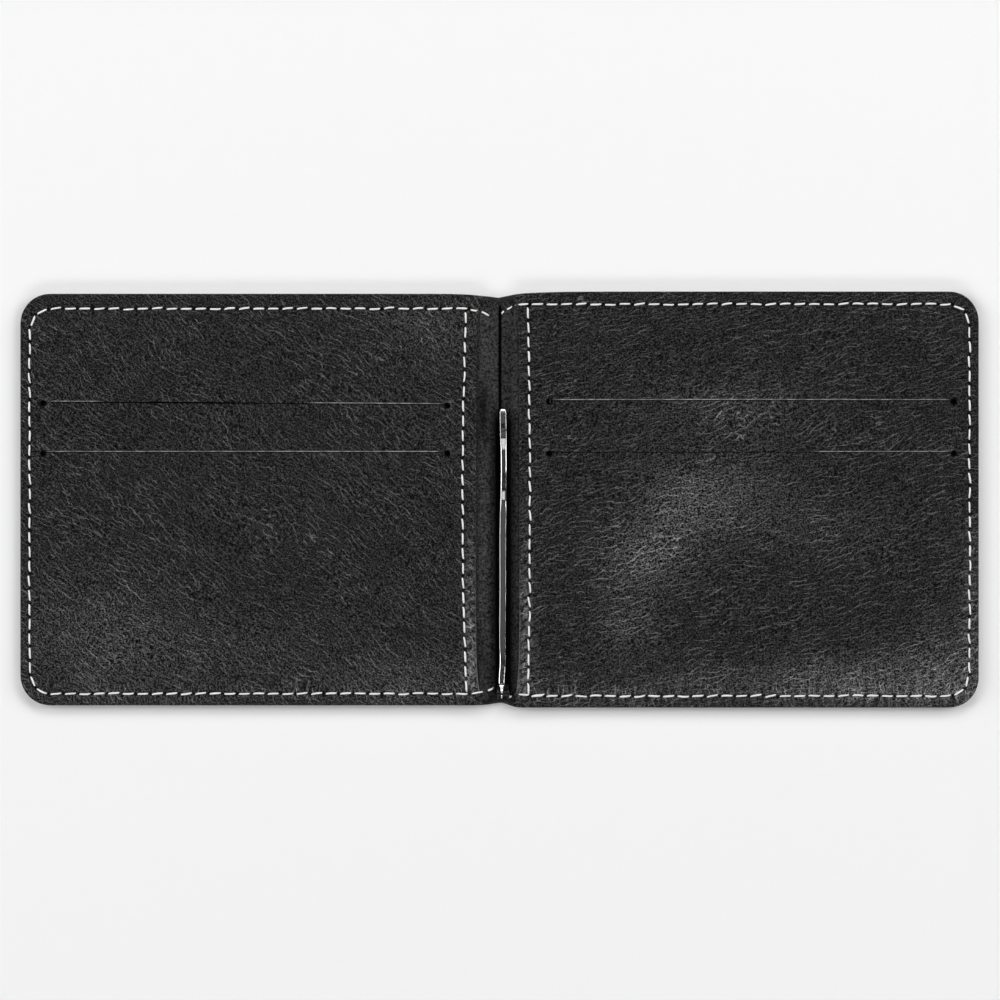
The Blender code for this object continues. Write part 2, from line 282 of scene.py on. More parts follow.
def newGroup(name, inputs, outputs):
    # A node group with named sockets; returns the group, its inputs by name and its output node.
    group = bpy.data.node_groups.new(name, "ShaderNodeTree")
    for key, value in inputs.items():
        kind = "NodeSocketVector" if value is None else "NodeSocketFloat"
        socket = group.interface.new_socket(key, in_out="INPUT", socket_type=kind)
        if value is not None:
            socket.default_value = value
    for key in outputs:
        group.interface.new_socket(key, in_out="OUTPUT", socket_type="NodeSocketFloat")
    source = group.nodes.new("NodeGroupInput")
    return group, source.outputs, group.nodes.new("NodeGroupOutput")


def giveOut(group, take, **results):
    for key, value in results.items():
        group.links.new(value, take.inputs[key])
    return group


def placeGroup(tree, name, inputs):
    return addNode(tree, "ShaderNodeGroup", inputs, node_tree=effects[name]).outputs


def newMaterial(name, roughness=0.5, metallic=0.0, specular=0.5):
    material = bpy.data.materials.new(name)
    material.use_nodes = True
    tree = material.node_tree
    shader = tree.nodes["Principled BSDF"]
    shader.inputs["Roughness"].default_value = roughness
    shader.inputs["Metallic"].default_value = metallic
    shader.inputs["Specular IOR Level"].default_value = specular
    return material, tree, shader


def grey(value):
    return (value, value, value, 1.0)


def greyMix(tree, factor, tones):
    return mixColour(tree, factor, grey(tones[0]), grey(tones[1]))


def feed(tree, shader, colour, height, relief, rough=None):
    # Joins a colour, a height as a bump of relief millimetres, and perhaps a roughness to the shader.
    bump = addNode(tree, "ShaderNodeBump", {"Height": height, "Distance": relief * mm, "Strength": 1.0})
    tree.links.new(bump.outputs["Normal"], shader.inputs["Normal"])
    tree.links.new(colour, shader.inputs["Base Color"])
    if rough is not None:
        tree.links.new(rough, shader.inputs["Roughness"])


def carried(tree, name):  # a number that the piece's mesh carries for each point
    return addNode(tree, "ShaderNodeAttribute", attribute_name=name).outputs["Fac"]


def restPlace(tree):
    # The place of each point at rest in millimetres, from the piece's own attribute.
    made = addNode(tree, "ShaderNodeAttribute", attribute_name="restPlace")
    return made.outputs["Vector"]


def objectPlace(tree):  # object coordinates in millimetres
    place = addNode(tree, "ShaderNodeTexCoord").outputs["Object"]
    return vectorMaths(tree, "SCALE", {0: place, "Scale": 1.0 / mm})


# Rates are waves per millimetre, and ranges are the noise values that fade something in.
leatherGrain = {
    "sweep": (0.045, 9.0),          # rate and reach of the slow bend in the creases' direction
    "sway": (0.8, 0.30),
    "patch": 0.12,
    "patchRange": (0.40, 0.60, 0.35, 1.0),
    "fleck": 2.9,
    "fleckRange": (0.34, 0.50, 0.3, 1.0),
    "wobble": 0.4,
    "wobblePush": (1.6, -1.8),      # for the first and the second set of creases
    "secondLean": -0.35,
    "lineRange": (0.02, 0.115, 1.0, 0.0),
    "breaks": (0.30, 0.9, 1.0),     # the gaps along a crease are drawn out by these rates
    "breakRange": (0.48, 0.60),
    "pebbleRange": (0.02, 0.28),
    "streak": (0.8, 0.4),           # length and width
    "toneRange": (0.43, 0.60),
}


def leatherGrainGroup():
    # Fine pebbles with painted shade in the pores between them, which leaves their tops lighter as a
    # painted sheen, under two crossing sets of thin creases whose mask is given out as a painted highlight.
    # A crease is where a saw-tooth across its direction, pushed about by a noise, comes near zero.
    look = leatherGrain
    sockets = {"Place": None, "Turn": 0.0, "Spacing": 1.3, "Pebble": 0.52}
    group, give, take = newGroup("leatherGrain", sockets, ("Height", "Crease", "Tone"))
    place = give["Place"]
    bent = pushedBy(group, pushedBy(group, place, place, *look["sweep"]), place, *look["sway"])
    turned = turnedBy(group, bent, give["Turn"])
    patch = noiseOf(group, place, look["patch"], 2.0)
    fleck = noiseOf(group, place, look["fleck"], 1.0, 0.5)
    wobble = noiseOf(group, place, look["wobble"], 2.0, 0.6)

    parts = addNode(group, "ShaderNodeSeparateXYZ", {0: turned}).outputs

    def drawnOut(length, width):
        along, across = maths(group, "DIVIDE", parts["X"], length), maths(group, "DIVIDE", parts["Y"], width)
        return addNode(group, "ShaderNodeCombineXYZ", {"X": along, "Y": across, "Z": 0.0}).outputs[0]

    def creasesAt(lean, push):
        tilted = turnedBy(group, turned, lean)
        across = addNode(group, "ShaderNodeSeparateXYZ", {0: tilted}).outputs["Y"]
        phase = maths(group, "MULTIPLY_ADD", wobble, push, maths(group, "DIVIDE", across, give["Spacing"]))
        line = spread(group, maths(group, "PINGPONG", phase, 0.5), *look["lineRange"])
        stretched = vectorMaths(group, "MULTIPLY", {0: tilted, 1: look["breaks"]})
        return times(group, line, spread(group, noiseOf(group, stretched, 1.0, 1.0), *look["breakRange"]))

    firstPush, secondPush = look["wobblePush"]
    crease = maths(group, "MAXIMUM", creasesAt(0.0, firstPush), creasesAt(look["secondLean"], secondPush))
    crease = times(
        group, crease, spread(group, patch, *look["patchRange"]), spread(group, fleck, *look["fleckRange"]),
    )
    cells = addNode(
        group, "ShaderNodeTexVoronoi", {"Vector": drawnOut(give["Pebble"], give["Pebble"]), "Scale": 1.0},
        feature="DISTANCE_TO_EDGE",
    ).outputs["Distance"]
    pebble = spread(group, cells, *look["pebbleRange"])
    streak = noiseOf(group, drawnOut(*look["streak"]), 1.0, 1.0, 0.5)
    height = maths(group, "MULTIPLY_ADD", pebble, 0.5, times(group, streak, 0.3))
    height = maths(group, "MULTIPLY_ADD", crease, 0.7, height)
    height = maths(group, "MULTIPLY_ADD", fleck, 0.8, height)
    tone = maths(group, "MULTIPLY_ADD", streak, 0.25, times(group, fleck, 0.75))
    # painted shade: the tone falls to 0.4 in the pores and stays full on the pebbles' tops, a painted sheen
    pores = maths(group, "MULTIPLY_ADD", pebble, 0.6, 0.4)
    tone = times(group, spread(group, tone, *look["toneRange"]), pores)
    return giveOut(group, take, Height=height, Crease=crease, Tone=tone)


def napGroup():
    # Short brushed fibres that lie in tufts, for suede and for raw board.
    group, give, take = newGroup("napFibre", {"Place": None, "Fibre": 0.25}, ("Height", "Tuft"))
    tuft = noiseOf(group, give["Place"], 0.9, 4.0, 0.6)
    fibre = noiseOf(group, give["Place"], maths(group, "DIVIDE", 1.0, give["Fibre"]), 3.0, 0.7)
    height = maths(group, "MULTIPLY_ADD", fibre, 0.8, times(group, tuft, 0.2))
    return giveOut(group, take, Height=height, Tuft=tuft)


def weaveGroup():
    # Plain weave: two sets of round yarns that cross over and under.
    group, give, take = newGroup("plainWeave", {"Place": None, "Yarn": 0.25}, ("Height", "Tone"))
    parts = addNode(group, "ShaderNodeSeparateXYZ", {0: give["Place"]})
    rate = maths(group, "DIVIDE", math.pi, give["Yarn"])
    waves = [maths(group, "SINE", times(group, parts.outputs[axis], rate)) for axis in ("X", "Y")]
    return giveOut(group, take, Height=times(group, *waves), Tone=noiseOf(group, give["Place"], 1.5, 3.0))


def polishGroup():
    # Faint polishing lines, 0.05 wide and 6 long, and finger smears on metal.
    group, give, take = newGroup("metalPolish", {"Place": None}, ("Lines", "Smear"))
    drawn = vectorMaths(group, "MULTIPLY", {0: give["Place"], 1: (1.0 / 0.05, 1.0 / 6.0, 1.0 / 0.05)})
    return giveOut(
        group, take, Lines=noiseOf(group, drawn, 1.0, 2.0), Smear=noiseOf(group, give["Place"], 0.35, 3.0),
    )


effects = {
    "grain": leatherGrainGroup(),
    "nap": napGroup(),
    "weave": weaveGroup(),
    "polish": polishGroup(),
}


# turn is the creases' direction in degrees, spacing their distance, and creases the strength of their
# painted highlight outside the painted sheen.
faceLeather = {
    "left": {"turn": 50.0, "spacing": 1.1, "creases": 0.31, "rough": 0.34, "relief": 0.45},
    "right": {"turn": -7.0, "spacing": 1.05, "creases": 0.33, "rough": 0.30, "relief": 0.5},
    "specular": 0.09,
    "seamTurn": 96.0,               # creases that a seam draws square to itself
    "seamSpacing": 0.85,
    # plain and sheen tones, then the pale greys of the painted highlights on creases, puckers and lips
    "plain": (0.0, 0.08),
    "glossy": (0.0, 0.40),
    "crease": 0.6,
    "seamCrease": 0.7,
    "lip": 0.4,
}


def faceFinish(side):
    # Black grained leather. The piece marks its painted edge; needle holes and pits painted black as
    # painted shade; slit lips and hole rims painted pale, partly raw cut edge and mostly painted highlight;
    # patches of painted sheen; and painted highlights on the puckers beside the seams.
    shared, look = faceLeather, faceLeather[side]
    material, tree, shader = newMaterial(side + "FaceLeather", look["rough"], 0.0, shared["specular"])
    place = restPlace(tree)
    grain = placeGroup(tree, "grain", {
        "Place": place, "Turn": math.radians(look["turn"]), "Spacing": look["spacing"],
    })
    square = placeGroup(tree, "grain", {
        "Place": place, "Turn": math.radians(shared["seamTurn"]), "Spacing": shared["seamSpacing"],
    })
    marks = ("edge", "pit", "lip", "gloss", "pucker")
    edge, pit, lip, gloss, pucker = (carried(tree, name) for name in marks)
    plain, glossy = (greyMix(tree, grain["Tone"], shared[name]) for name in ("plain", "glossy"))
    colour = mixColour(tree, gloss, plain, glossy)
    # painted highlight: creases are mixed towards a pale grey, more strongly in the painted sheen
    creases = times(tree, grain["Crease"], maths(tree, "MULTIPLY_ADD", gloss, 1.2, look["creases"]))
    colour = mixColour(tree, creases, colour, grey(shared["crease"]))
    # painted highlight on the puckers' creases beside the bottom row
    colour = mixColour(tree, times(tree, square["Crease"], pucker), colour, grey(shared["seamCrease"]))
    # painted shade: the pits at needle holes and round the slits' end holes go black
    colour = mixColour(tree, spread(tree, pit, 0.15, 0.7), colour, grey(0.0))
    # painted highlight on slit lips, hole rims, crinkles, ridges and the inner edge; at the lips partly a raw
    # cut edge
    colour = mixColour(tree, lip, colour, grey(shared["lip"]))
    rough = spread(tree, grain["Tone"], 0.0, 1.0, look["rough"] + 0.12, look["rough"] - 0.04)
    rough = maths(tree, "MULTIPLY_ADD", edge, 0.1, rough)
    rough = maths(tree, "MULTIPLY_ADD", pit, 0.5, rough)
    feed(tree, shader, colour, grain["Height"], look["relief"], rough)
    return material


coverLeather = {
    "specular": 0.3, "turn": 0.5, "tones": (0.002, 0.024), "crease": 0.1, "edge": 0.01, "relief": 0.14,
}


def coverFinish():
    # Outer leather: tighter, smoother grain, darker burnished edge.
    look = coverLeather
    material, tree, shader = newMaterial("coverLeather", 0.42, 0.0, look["specular"])
    grain = placeGroup(tree, "grain", {"Place": restPlace(tree), "Turn": look["turn"]})
    burnish = times(tree, carried(tree, "edge"), 0.6)
    colour = greyMix(tree, grain["Tone"], look["tones"])
    # painted highlight: the creases are mixed towards a paler grey; the tone carries the grain's painted
    # shade and sheen
    colour = mixColour(tree, times(tree, grain["Crease"], 0.25), colour, grey(look["crease"]))
    colour = mixColour(tree, burnish, colour, grey(look["edge"]))
    height = times(tree, grain["Height"], maths(tree, "SUBTRACT", 1.0, burnish))
    feed(tree, shader, colour, height, look["relief"], spread(tree, grain["Tone"], 0.0, 1.0, 0.52, 0.38))
    return material


spineSuede = {
    "fibre": 0.5, "tones": (0.008, 0.075), "rimTurn": 0.9, "rimTones": (0.005, 0.07), "relief": 0.4,
}


def suedeFinish():
    # Napped strip: dull, with painted shade beside the bar, in the fold past its free end and in patches.
    # Past the stitch rows its rim is smooth leather.
    look = spineSuede
    material, tree, shader = newMaterial("spineSuede", 0.95, 0.0, 0.04)
    place, rim = restPlace(tree), carried(tree, "rim")
    nap = placeGroup(tree, "nap", {"Place": place, "Fibre": look["fibre"]})
    grain = placeGroup(tree, "grain", {"Place": place, "Turn": look["rimTurn"]})
    colour = greyMix(tree, spread(tree, nap["Height"], 0.40, 0.62), look["tones"])
    # painted shade, carried as crease: black beside the bar, in the fold past its free end and in patches
    colour = mixColour(tree, carried(tree, "crease"), colour, grey(0.0))
    colour = mixColour(tree, rim, colour, greyMix(tree, grain["Tone"], look["rimTones"]))
    feed(tree, shader, colour, nap["Height"], look["relief"], spread(tree, rim, 0.0, 1.0, 0.95, 0.4))
    return material


def liningFinish():  # fine black cloth
    material, tree, shader = newMaterial("pocketLining", 0.8, 0.0, 0.06)
    weave = placeGroup(tree, "weave", {"Place": objectPlace(tree), "Yarn": 0.22})
    colour = greyMix(tree, spread(tree, weave["Tone"], 0.3, 0.7), (0.002, 0.007))
    feed(tree, shader, colour, weave["Height"], 0.05)
    return material


def boardFinish():  # grey bonded fibre board
    material, tree, shader = newMaterial("stiffenerBoard", 0.9, 0.0, 0.2)
    nap = placeGroup(tree, "nap", {"Place": objectPlace(tree), "Fibre": 0.8})
    colour = mixColour(tree, nap["Tuft"], (0.16, 0.15, 0.135, 1.0), (0.3, 0.285, 0.26, 1.0))
    feed(tree, shader, colour, nap["Height"], 0.05)
    return material


threadLook = {
    "twist": 9.0, "relief": 0.08, "groove": (0.72, 0.72, 0.71, 1.0), "strand": (0.98, 0.98, 0.97, 1.0),
}


def threadFinish():
    # Waxed white thread: the strands' twist runs across the piece's own UV map.
    look = threadLook
    material, tree, shader = newMaterial("whiteThread", 0.55, 0.0, 0.4)
    uv = addNode(tree, "ShaderNodeUVMap", uv_map="pattern").outputs["UV"]
    parts = addNode(tree, "ShaderNodeSeparateXYZ", {0: uv}).outputs
    roundTurn = times(tree, parts["Y"], 2.0 * math.pi)
    spiral = maths(tree, "MULTIPLY_ADD", parts["X"], look["twist"], roundTurn)
    strand = maths(tree, "ABSOLUTE", maths(tree, "SINE", spiral))
    fuzz = noiseOf(tree, objectPlace(tree), 7.0, 3.0)
    # painted shade: the grooves between the twisted strands are painted a darker grey
    shade = maths(tree, "MULTIPLY_ADD", fuzz, 0.35, times(tree, strand, 0.75))
    colour = mixColour(tree, spread(tree, shade, 0.1, 0.75), look["groove"], look["strand"])
    feed(tree, shader, colour, shade, look["relief"])
    return material


def barFinish():  # mirror-polished steel with faint lengthwise lines and smears
    material, tree, shader = newMaterial("polishedBar", 0.08, 1.0, 0.5)
    polish = placeGroup(tree, "polish", {"Place": objectPlace(tree)})
    smear = spread(tree, polish["Smear"], 0.3, 0.8, 0.05, 0.12)
    rough = maths(tree, "MULTIPLY_ADD", polish["Lines"], 0.06, smear)
    feed(tree, shader, greyMix(tree, polish["Smear"], (0.72, 0.85)), polish["Lines"], 0.004, rough)
    return material


def plateFinish():  # blackened spring steel
    material, tree, shader = newMaterial("blackenedPlate", 0.45, 1.0, 0.5)
    polish = placeGroup(tree, "polish", {"Place": objectPlace(tree)})
    rough = spread(tree, polish["Lines"], 0.2, 0.8, 0.35, 0.55)
    feed(tree, shader, greyMix(tree, polish["Smear"], (0.02, 0.05)), polish["Lines"], 0.01, rough)
    return material


finishes = {
    "leftFace": faceFinish("left"),
    "rightFace": faceFinish("right"),
    "cover": coverFinish(),
    "suede": suedeFinish(),
    "lining": liningFinish(),
    "board": boardFinish(),
    "thread": threadFinish(),
    "bar": barFinish(),
    "plate": plateFinish(),
}
print("finishes made:", len(finishes))


outline = {
    "cornerRadius": 6.6,
    # where each long edge dips at the fold, how far, and the dip's reach and power to each side
    "top": {"place": -0.2, "drop": 1.1, "left": (4.2, 1.3), "right": (5.5, 1.0)},
    "bottom": {"place": 0.33, "drop": 0.8, "left": (2.9, 2.0), "right": (2.1, 2.0)},
    "waistReach": 12.0,     # how far in from the edge the dip fades out
    "meetingReach": 5.0,    # the panels' two heights become one within this distance of the middle
}


def panelSize(side):
    low, high = boxOf(side + "_cover")
    inner, outer = sorted((abs(low[0]), abs(high[0])))
    return {"inner": inner, "outer": outer, "height": high[1], "top": high[2], "sign": sides[side]}


def spineMiddle():
    low, high = boxOf("spine_cover")
    return (low[0] + high[0]) / 2.0


def shapeOutline(gx, gy, size):
    # Carries a flat rectangle's points to the panel's outline. In each outer corner a square becomes a
    # quarter circle: a point moves towards the corner's centre until its larger offset is its distance.
    radius = outline["cornerRadius"]
    a = np.maximum(np.abs(gx) - (size["outer"] - radius), 0.0)
    b = np.maximum(np.abs(gy) - (size["height"] - radius), 0.0)
    away = np.hypot(a, b)
    factor = np.where(away > 1e-9, np.maximum(a, b) / np.maximum(away, 1e-9), 1.0)
    x = np.sign(gx) * (np.abs(gx) - a * (1.0 - factor))
    y = np.sign(gy) * (np.abs(gy) - b * (1.0 - factor))
    share = ease((np.abs(gy) - size["height"] + outline["waistReach"]) / outline["waistReach"])
    meeting = sum(panelSize(name)["height"] for name in sides) / 2.0
    nearMiddle = 1.0 - ease(np.abs(gx - spineMiddle()) / outline["meetingReach"])
    y = y * (1.0 + (meeting / size["height"] - 1.0) * nearMiddle)
    return x, y - np.sign(gy) * waistDip(gx, gy) * share


def waistDip(gx, gy):
    # Each edge dips by drop * exp(-(distance / reach)^power), with a reach and power for each side.
    dips = []
    for waist in (outline["top"], outline["bottom"]):
        away = gx - waist["place"]
        shapes = (waist["left"], waist["right"])
        fades = [np.exp(-(np.abs(away) / reach) ** power) for reach, power in shapes]
        dips.append(waist["drop"] * np.where(away < 0, *fades))
    return np.where(gy > 0, *dips)


def quarterRound(inset, width):  # how far a quarter circle has fallen, 1 at the edge and 0 past its width
    return 1.0 - np.sqrt(1.0 - (1.0 - np.clip(inset / width, 0.0, 1.0)) ** 2)


def spot(x, y, middleX, middleY, wide, high, power):  # an oval patch: the product of two bells
    return power * bell(x - middleX, wide) * bell(y - middleY, high)


stitching = {
    "pitch": 3.2,
    "outerInset": 2.1,
    "topInset": {"left": 3.3, "right": 2.8},
    "bottomInset": {"left": 2.6, "right": 2.6},
    "cornerRadius": 4.4,
    "seamFromFold": {"left": 3.85, "right": 2.65},
    "seamBow": {"left": 0.8, "right": 0.4},
    "seamEnd": 0.4,         # the inner seam starts this far under the top row
    "rowStart": 6.75,       # where the panels' rows take over from the ones across the spine
    "backStitch": ((0.0, 0.3), (0.3, 0.25)),    # how far its two ends lie from the last holes
    "hook": 0.13,           # each stitch's ends bend aside
    "holeGap": 0.22,        # from a hole's middle to the stitch's end
    "radius": 0.21,
    "sizes": (0.9, 1.08),
    "endSize": 0.55,        # share of the radius left where a stitch enters its hole
    "rise": 0.55,           # radii from the leather up to the middle of the cord
    "dip": 0.42,
    "flatten": 0.85,
    "wander": 0.09,
    "tilt": 0.035,          # each stitch leans across its row
    "tiltSpread": 0.06,
    "bendSpread": 0.07,
    "sink": 0.1,
    "spineHeight": (1.75, 0.35, 3.0, 2.0),      # lowest, how much it climbs, from where, over what width
    "outsideHeight": (0.75, 0.12),              # radii above the floor, and mm more
    "seed": {"left": 41, "right": 51},
    "spineSeed": 61,
}


def alongPath(path, pitch):
    # Points along a polyline, as near to one pitch apart as divides its length evenly.
    steps = np.hypot(*np.diff(path, axis=0).T)
    length = np.concatenate([[0.0], np.cumsum(steps)])
    where = np.linspace(0.0, length[-1], int(round(length[-1] / pitch)) + 1)
    return np.stack([np.interp(where, length, path[:, axis]) for axis in (0, 1)], -1)


def rowPlaces(side):  # where along y the rows of the top and the bottom edge run
    height = panelSize(side)["height"]
    return height - stitching["topInset"][side], stitching["bottomInset"][side] - height


def foldX(side):
    return jointPlace(side + "_fold")[0]


def seamPlaces(side):  # where along x the inner seam runs at the panel's middle, and the outer row
    inner = foldX(side) + sides[side] * stitching["seamFromFold"][side]
    return inner, sides[side] * (panelSize(side)["outer"] - stitching["outerInset"])


def perimeterPath(side):
    # From the fold along the top, round both outer corners and back along the bottom to the fold.
    size = panelSize(side)
    radius, start = stitching["cornerRadius"], stitching["rowStart"]
    outer = size["outer"] - stitching["outerInset"]
    top, bottom = rowPlaces(side)
    angle = np.radians(np.linspace(90.0, 0.0, 24))
    upper = np.stack([outer - radius + radius * np.cos(angle), top - radius + radius * np.sin(angle)], -1)
    lower = np.stack([upper[::-1, 0], bottom + top - upper[::-1, 1]], -1)
    path = np.concatenate([[[start, top]], upper, lower, [[start, bottom]]])
    return path * [size["sign"], 1.0]


def seamPath(side):
    # A slightly bowed line down the panel, nearer the fold at both ends.
    top, bottom = rowPlaces(side)
    top -= stitching["seamEnd"]
    y = np.linspace(top, bottom, 40)
    bow = sides[side] * stitching["seamBow"][side] * (y / top) ** 2
    return np.stack([seamPlaces(side)[0] - bow, y], -1)


def needleHoles(side):
    return [alongPath(path(side), stitching["pitch"]) for path in (perimeterPath, seamPath)]


facePanel = {
    "step": 0.56,
    "sideGap": 0.1,          # the sheet stops this far inside the cover at its sides
    "endGap": 0.05,          # and this far at its top and bottom
    "rim": (0.0, 0.06, 0.16, 0.32),     # grid lines across the rounded edge
    "thickness": 0.75,
    "edgeRound": 0.22,
    "edgeWidth": 0.32,
    "paintWidth": 0.45,
    "outerRim": 2.1,         # height of the sewn rim's top at the three free edges
    "foldRim": 2.3,          # and beside the fold, over the strip's flap
    "middle": 3.5,           # height of the leather over the pockets
    "rise": 7.0,             # width of the slope from rim to middle
    "slitBelowPocketTop": 5.5,
    "slitWidth": 0.16,
    "slitEase": (0.4, 2.5),  # the lips lift from this far inside a slit's end, over this width
    "holeRadius": 0.62,
    "holeDrop": 0.3,         # slit end holes sit a little under the slit's line
    "pitDepth": 0.30,
    "pitWidth": 0.42,
    "swells": ((0.10, 26.0), (0.035, 9.0)),     # height and length of the waves over the pockets
    "unevenness": (0.012, 3.4),
    "seed": {"left": 11, "right": 23},
    "seamSink": (0.10, 0.8),                    # depth and width of the dip along each row
    "puckers": {"left": (2.5, 0.05), "right": (5.0, 0.10)},     # reach and height at the bottom row
    # strength of the puckers' painted highlight near the fold, and what it gains outwards
    "puckerTone": {"left": (0.45, 0.0), "right": (0.5, 0.5)},   # near the fold, and gained outwards
    "outwards": (50.0, 30.0),                   # the gain starts here along x and takes this width
    "ridgeRates": (3.0, 3.4),                   # radians per mm along the bottom and the outer edge
    "ridgeHeight": 0.08,
    "crumpleLength": 1.7,
    "crumpleHeight": 0.09,
}

innerEdgeLine = {
    # the inner edge at the panel's middle, further from the fold, and how far it comes back at the ends
    "out": {"left": 0.65, "right": 0.05},
    "back": {"left": 1.7, "right": 1.5},
    "reach": 1.6,
    "power": 10,
}

glossSpots = {
    # painted sheen, a paler colour in patches where the bulging leather would catch the light: place, reach
    # along x and y, strength
    "left": (
        (-20.0, -40.0, 14.0, 5.0, 0.25), (-14.0, 38.0, 12.0, 6.0, 0.2), (-60.0, -34.0, 30.0, 9.0, 0.12),
        (-88.0, -30.0, 16.0, 12.0, 0.25),
    ),
    "right": (
        (31.0, -13.0, 8.0, 7.0, 0.75), (40.0, -2.0, 10.0, 9.0, 0.6), (52.0, 1.0, 14.0, 8.0, 0.4),
        (50.0, 20.0, 14.0, 6.0, 0.3), (28.0, -27.0, 6.0, 7.0, 0.4), (72.0, -6.0, 14.0, 5.0, 0.2),
        (82.0, -38.5, 18.0, 4.5, 0.55), (96.0, -36.0, 7.0, 9.0, 0.45), (55.0, -39.5, 22.0, 3.0, 0.3),
    ),
}

slitLooks = {
    # gape: (place along the slit from 0 to 1, width, extra opening); lift: height of the upper lip;
    # bright: where the lip is painted pale, partly its raw edge and mostly painted highlight; lean: how far
    # each end sits off the level
    ("left", "upper"): {
        "gape": (0.36, 0.2, 0.22), "lift": 0.16, "bright": ((0.0, 0.14), (0.66, 1.0)), "lean": (-0.35, -0.9),
    },
    ("left", "lower"): {"gape": (0.5, 0.3, 0.03), "lift": 0.13, "bright": ((0.0, 0.98),)},
    ("right", "upper"): {"gape": (0.5, 0.3, 0.03), "lift": 0.15, "bright": ((0.0, 1.0),)},
    ("right", "lower"): {"gape": (0.2, 0.2, 0.04), "lift": 0.10, "bright": ((0.66, 1.0),)},
}


def slitsOf(side):
    # Each slit's line and its end holes, worked out from the pocket behind it.
    found = {}
    for level in ("upper", "lower"):
        low, high = boxOf(side + "_" + level + "_pocket")
        found[level] = {"y": high[1] - facePanel["slitBelowPocketTop"], "low": low[0], "high": high[0]}
    return found


def roundHoles(x, y, centres, radius):
    # Squares round each centre become circles: a point's distance is made its larger offset out to
    # the radius, and eases back to its own by about twice that.
    for cx, cy in centres:
        dx, dy = x - cx, y - cy
        square = np.maximum(np.abs(dx), np.abs(dy))
        away = np.maximum(np.hypot(dx, dy), 1e-9)
        fade = 1.0 - ease((square - radius) / (1.2 * radius))
        factor = 1.0 + (square / away - 1.0) * fade
        x, y = cx + dx * factor, cy + dy * factor
    return x, y


def slopeShare(gx, gy, size, rise):
    # 0 on the sewn rim and 1 over the pockets: the product of three eased distances from the seams.
    outer = ease((size["outer"] - np.abs(gx) - 2.5) / rise)
    inner = ease((np.abs(gx) - size["inner"] - 4.0) / rise)
    ends = ease((size["height"] - np.abs(gy) - 3.0) / rise)
    return outer * inner * ends


def rimTop(x, size):  # height of the sewn rim, from foldRim beside the fold to outerRim further out
    fold = 1.0 - ease((np.abs(x) - size["inner"] - 3.0) / 6.0)
    return facePanel["outerRim"] + (facePanel["foldRim"] - facePanel["outerRim"]) * fold


def puckers(x, y, holes, reach, height):
    # Hollows that run inwards from a row's holes: each is a bell along the row and fades over reach.
    total = np.zeros_like(x)
    for hx, hy in holes:
        inwards = np.exp(-np.maximum(y - hy, 0.0) / reach)
        total -= bell(x - hx, 0.75) * bell(np.minimum(y - hy, 0.0), 0.8) * inwards
    return total * height


def faceGrid(side, size, slits):
    # A grid over the panel, finer at its edges, seams, slits and end holes. keep says which of its
    # cells are leather, and centres are the middles of the slits' end holes.
    look = facePanel
    hole, drop, halfSlit = look["holeRadius"], look["holeDrop"], look["slitWidth"] / 2
    outer, inner = size["outer"] - look["sideGap"], size["inner"] + look["sideGap"]
    xLow, xHigh = sorted((size["sign"] * outer, size["sign"] * inner))
    height = size["height"] - look["endGap"]
    seamLines = (-0.3, 0.0, 0.3)
    slitLines = (halfSlit, -halfSlit, halfSlit + 0.14, halfSlit + 0.24, -halfSlit - 0.1)
    heights = [cut["y"] for cut in slits.values()]
    fineEnds = [(slits["upper"][end], hole, hole / 4.0) for end in ("low", "high")]
    fineRows = [(place - drop, hole, hole / 4.0) for place in heights]
    ends = edgeLines(xLow, xHigh, look["rim"])
    columns = lines(xLow, xHigh, look["step"], ends + nearEach(seamPlaces(side), seamLines), fineEnds)
    ends = edgeLines(-height, height, look["rim"])
    extra = ends + nearEach(rowPlaces(side), seamLines) + nearEach(heights, slitLines)
    gx, gy = np.meshgrid(columns, lines(-height, height, look["step"], extra, fineRows))
    midX, midY = cellMiddles(gx, gy)
    keep = np.ones(midX.shape, bool)
    centres = []
    for cut in slits.values():
        keep &= ~((np.abs(midY - cut["y"]) < halfSlit) & (midX > cut["low"]) & (midX < cut["high"]))
        for end in (cut["low"], cut["high"]):
            centres.append((end, cut["y"] - drop))
            keep &= ~((np.abs(midX - end) < hole) & (np.abs(midY - cut["y"] + drop) < hole))
    inset = np.minimum(np.minimum(xHigh - gx, gx - xLow), np.minimum(gy + height, height - gy))
    return gx, gy, keep, centres, inset


def openSlits(side, slits, gx, gy, y, top):
    # Changes y and top in place: each slit leans, its lips part and the upper one lifts. Gives back
    # where a lip is painted pale, partly its raw cut edge and mostly a painted highlight. Each effect fades
    # away from the slit's line and at its ends.
    halfSlit = facePanel["slitWidth"] / 2
    start, width = facePanel["slitEase"]
    lip = np.zeros_like(top)
    for level, cut in slits.items():
        marks = slitLooks[side, level]
        t = (gx - cut["low"]) / (cut["high"] - cut["low"])
        offset = gy - cut["y"]
        leanLow, leanHigh = marks.get("lean", (0.0, 0.0))
        y += (leanLow + (leanHigh - leanLow) * t) * bell(offset, 4.0)
        inside = ease((gx - cut["low"] - start) / width) * ease((cut["high"] - gx - start) / width)
        middle, wide, extra = marks["gape"]
        opening = extra * bell(t - middle, wide) * inside
        y += np.where(offset > 0, 0.6, -0.4) * opening * np.exp(-np.abs(offset) / 2.0)
        above = (offset > 0) * np.exp(-np.maximum(offset, 0.0) / 1.6)
        under = (offset < 0) * np.exp(-np.maximum(-offset, 0.0) / 2.2)
        top += inside * (marks["lift"] * above - 0.10 * under)
        shown = sum(ease((t - a) / 0.02 + 0.5) * ease((b - t) / 0.02 + 0.5) for a, b in marks["bright"])
        lip += (offset > halfSlit - 0.01) * (offset < halfSlit + 0.15) * inside * shown
    return lip


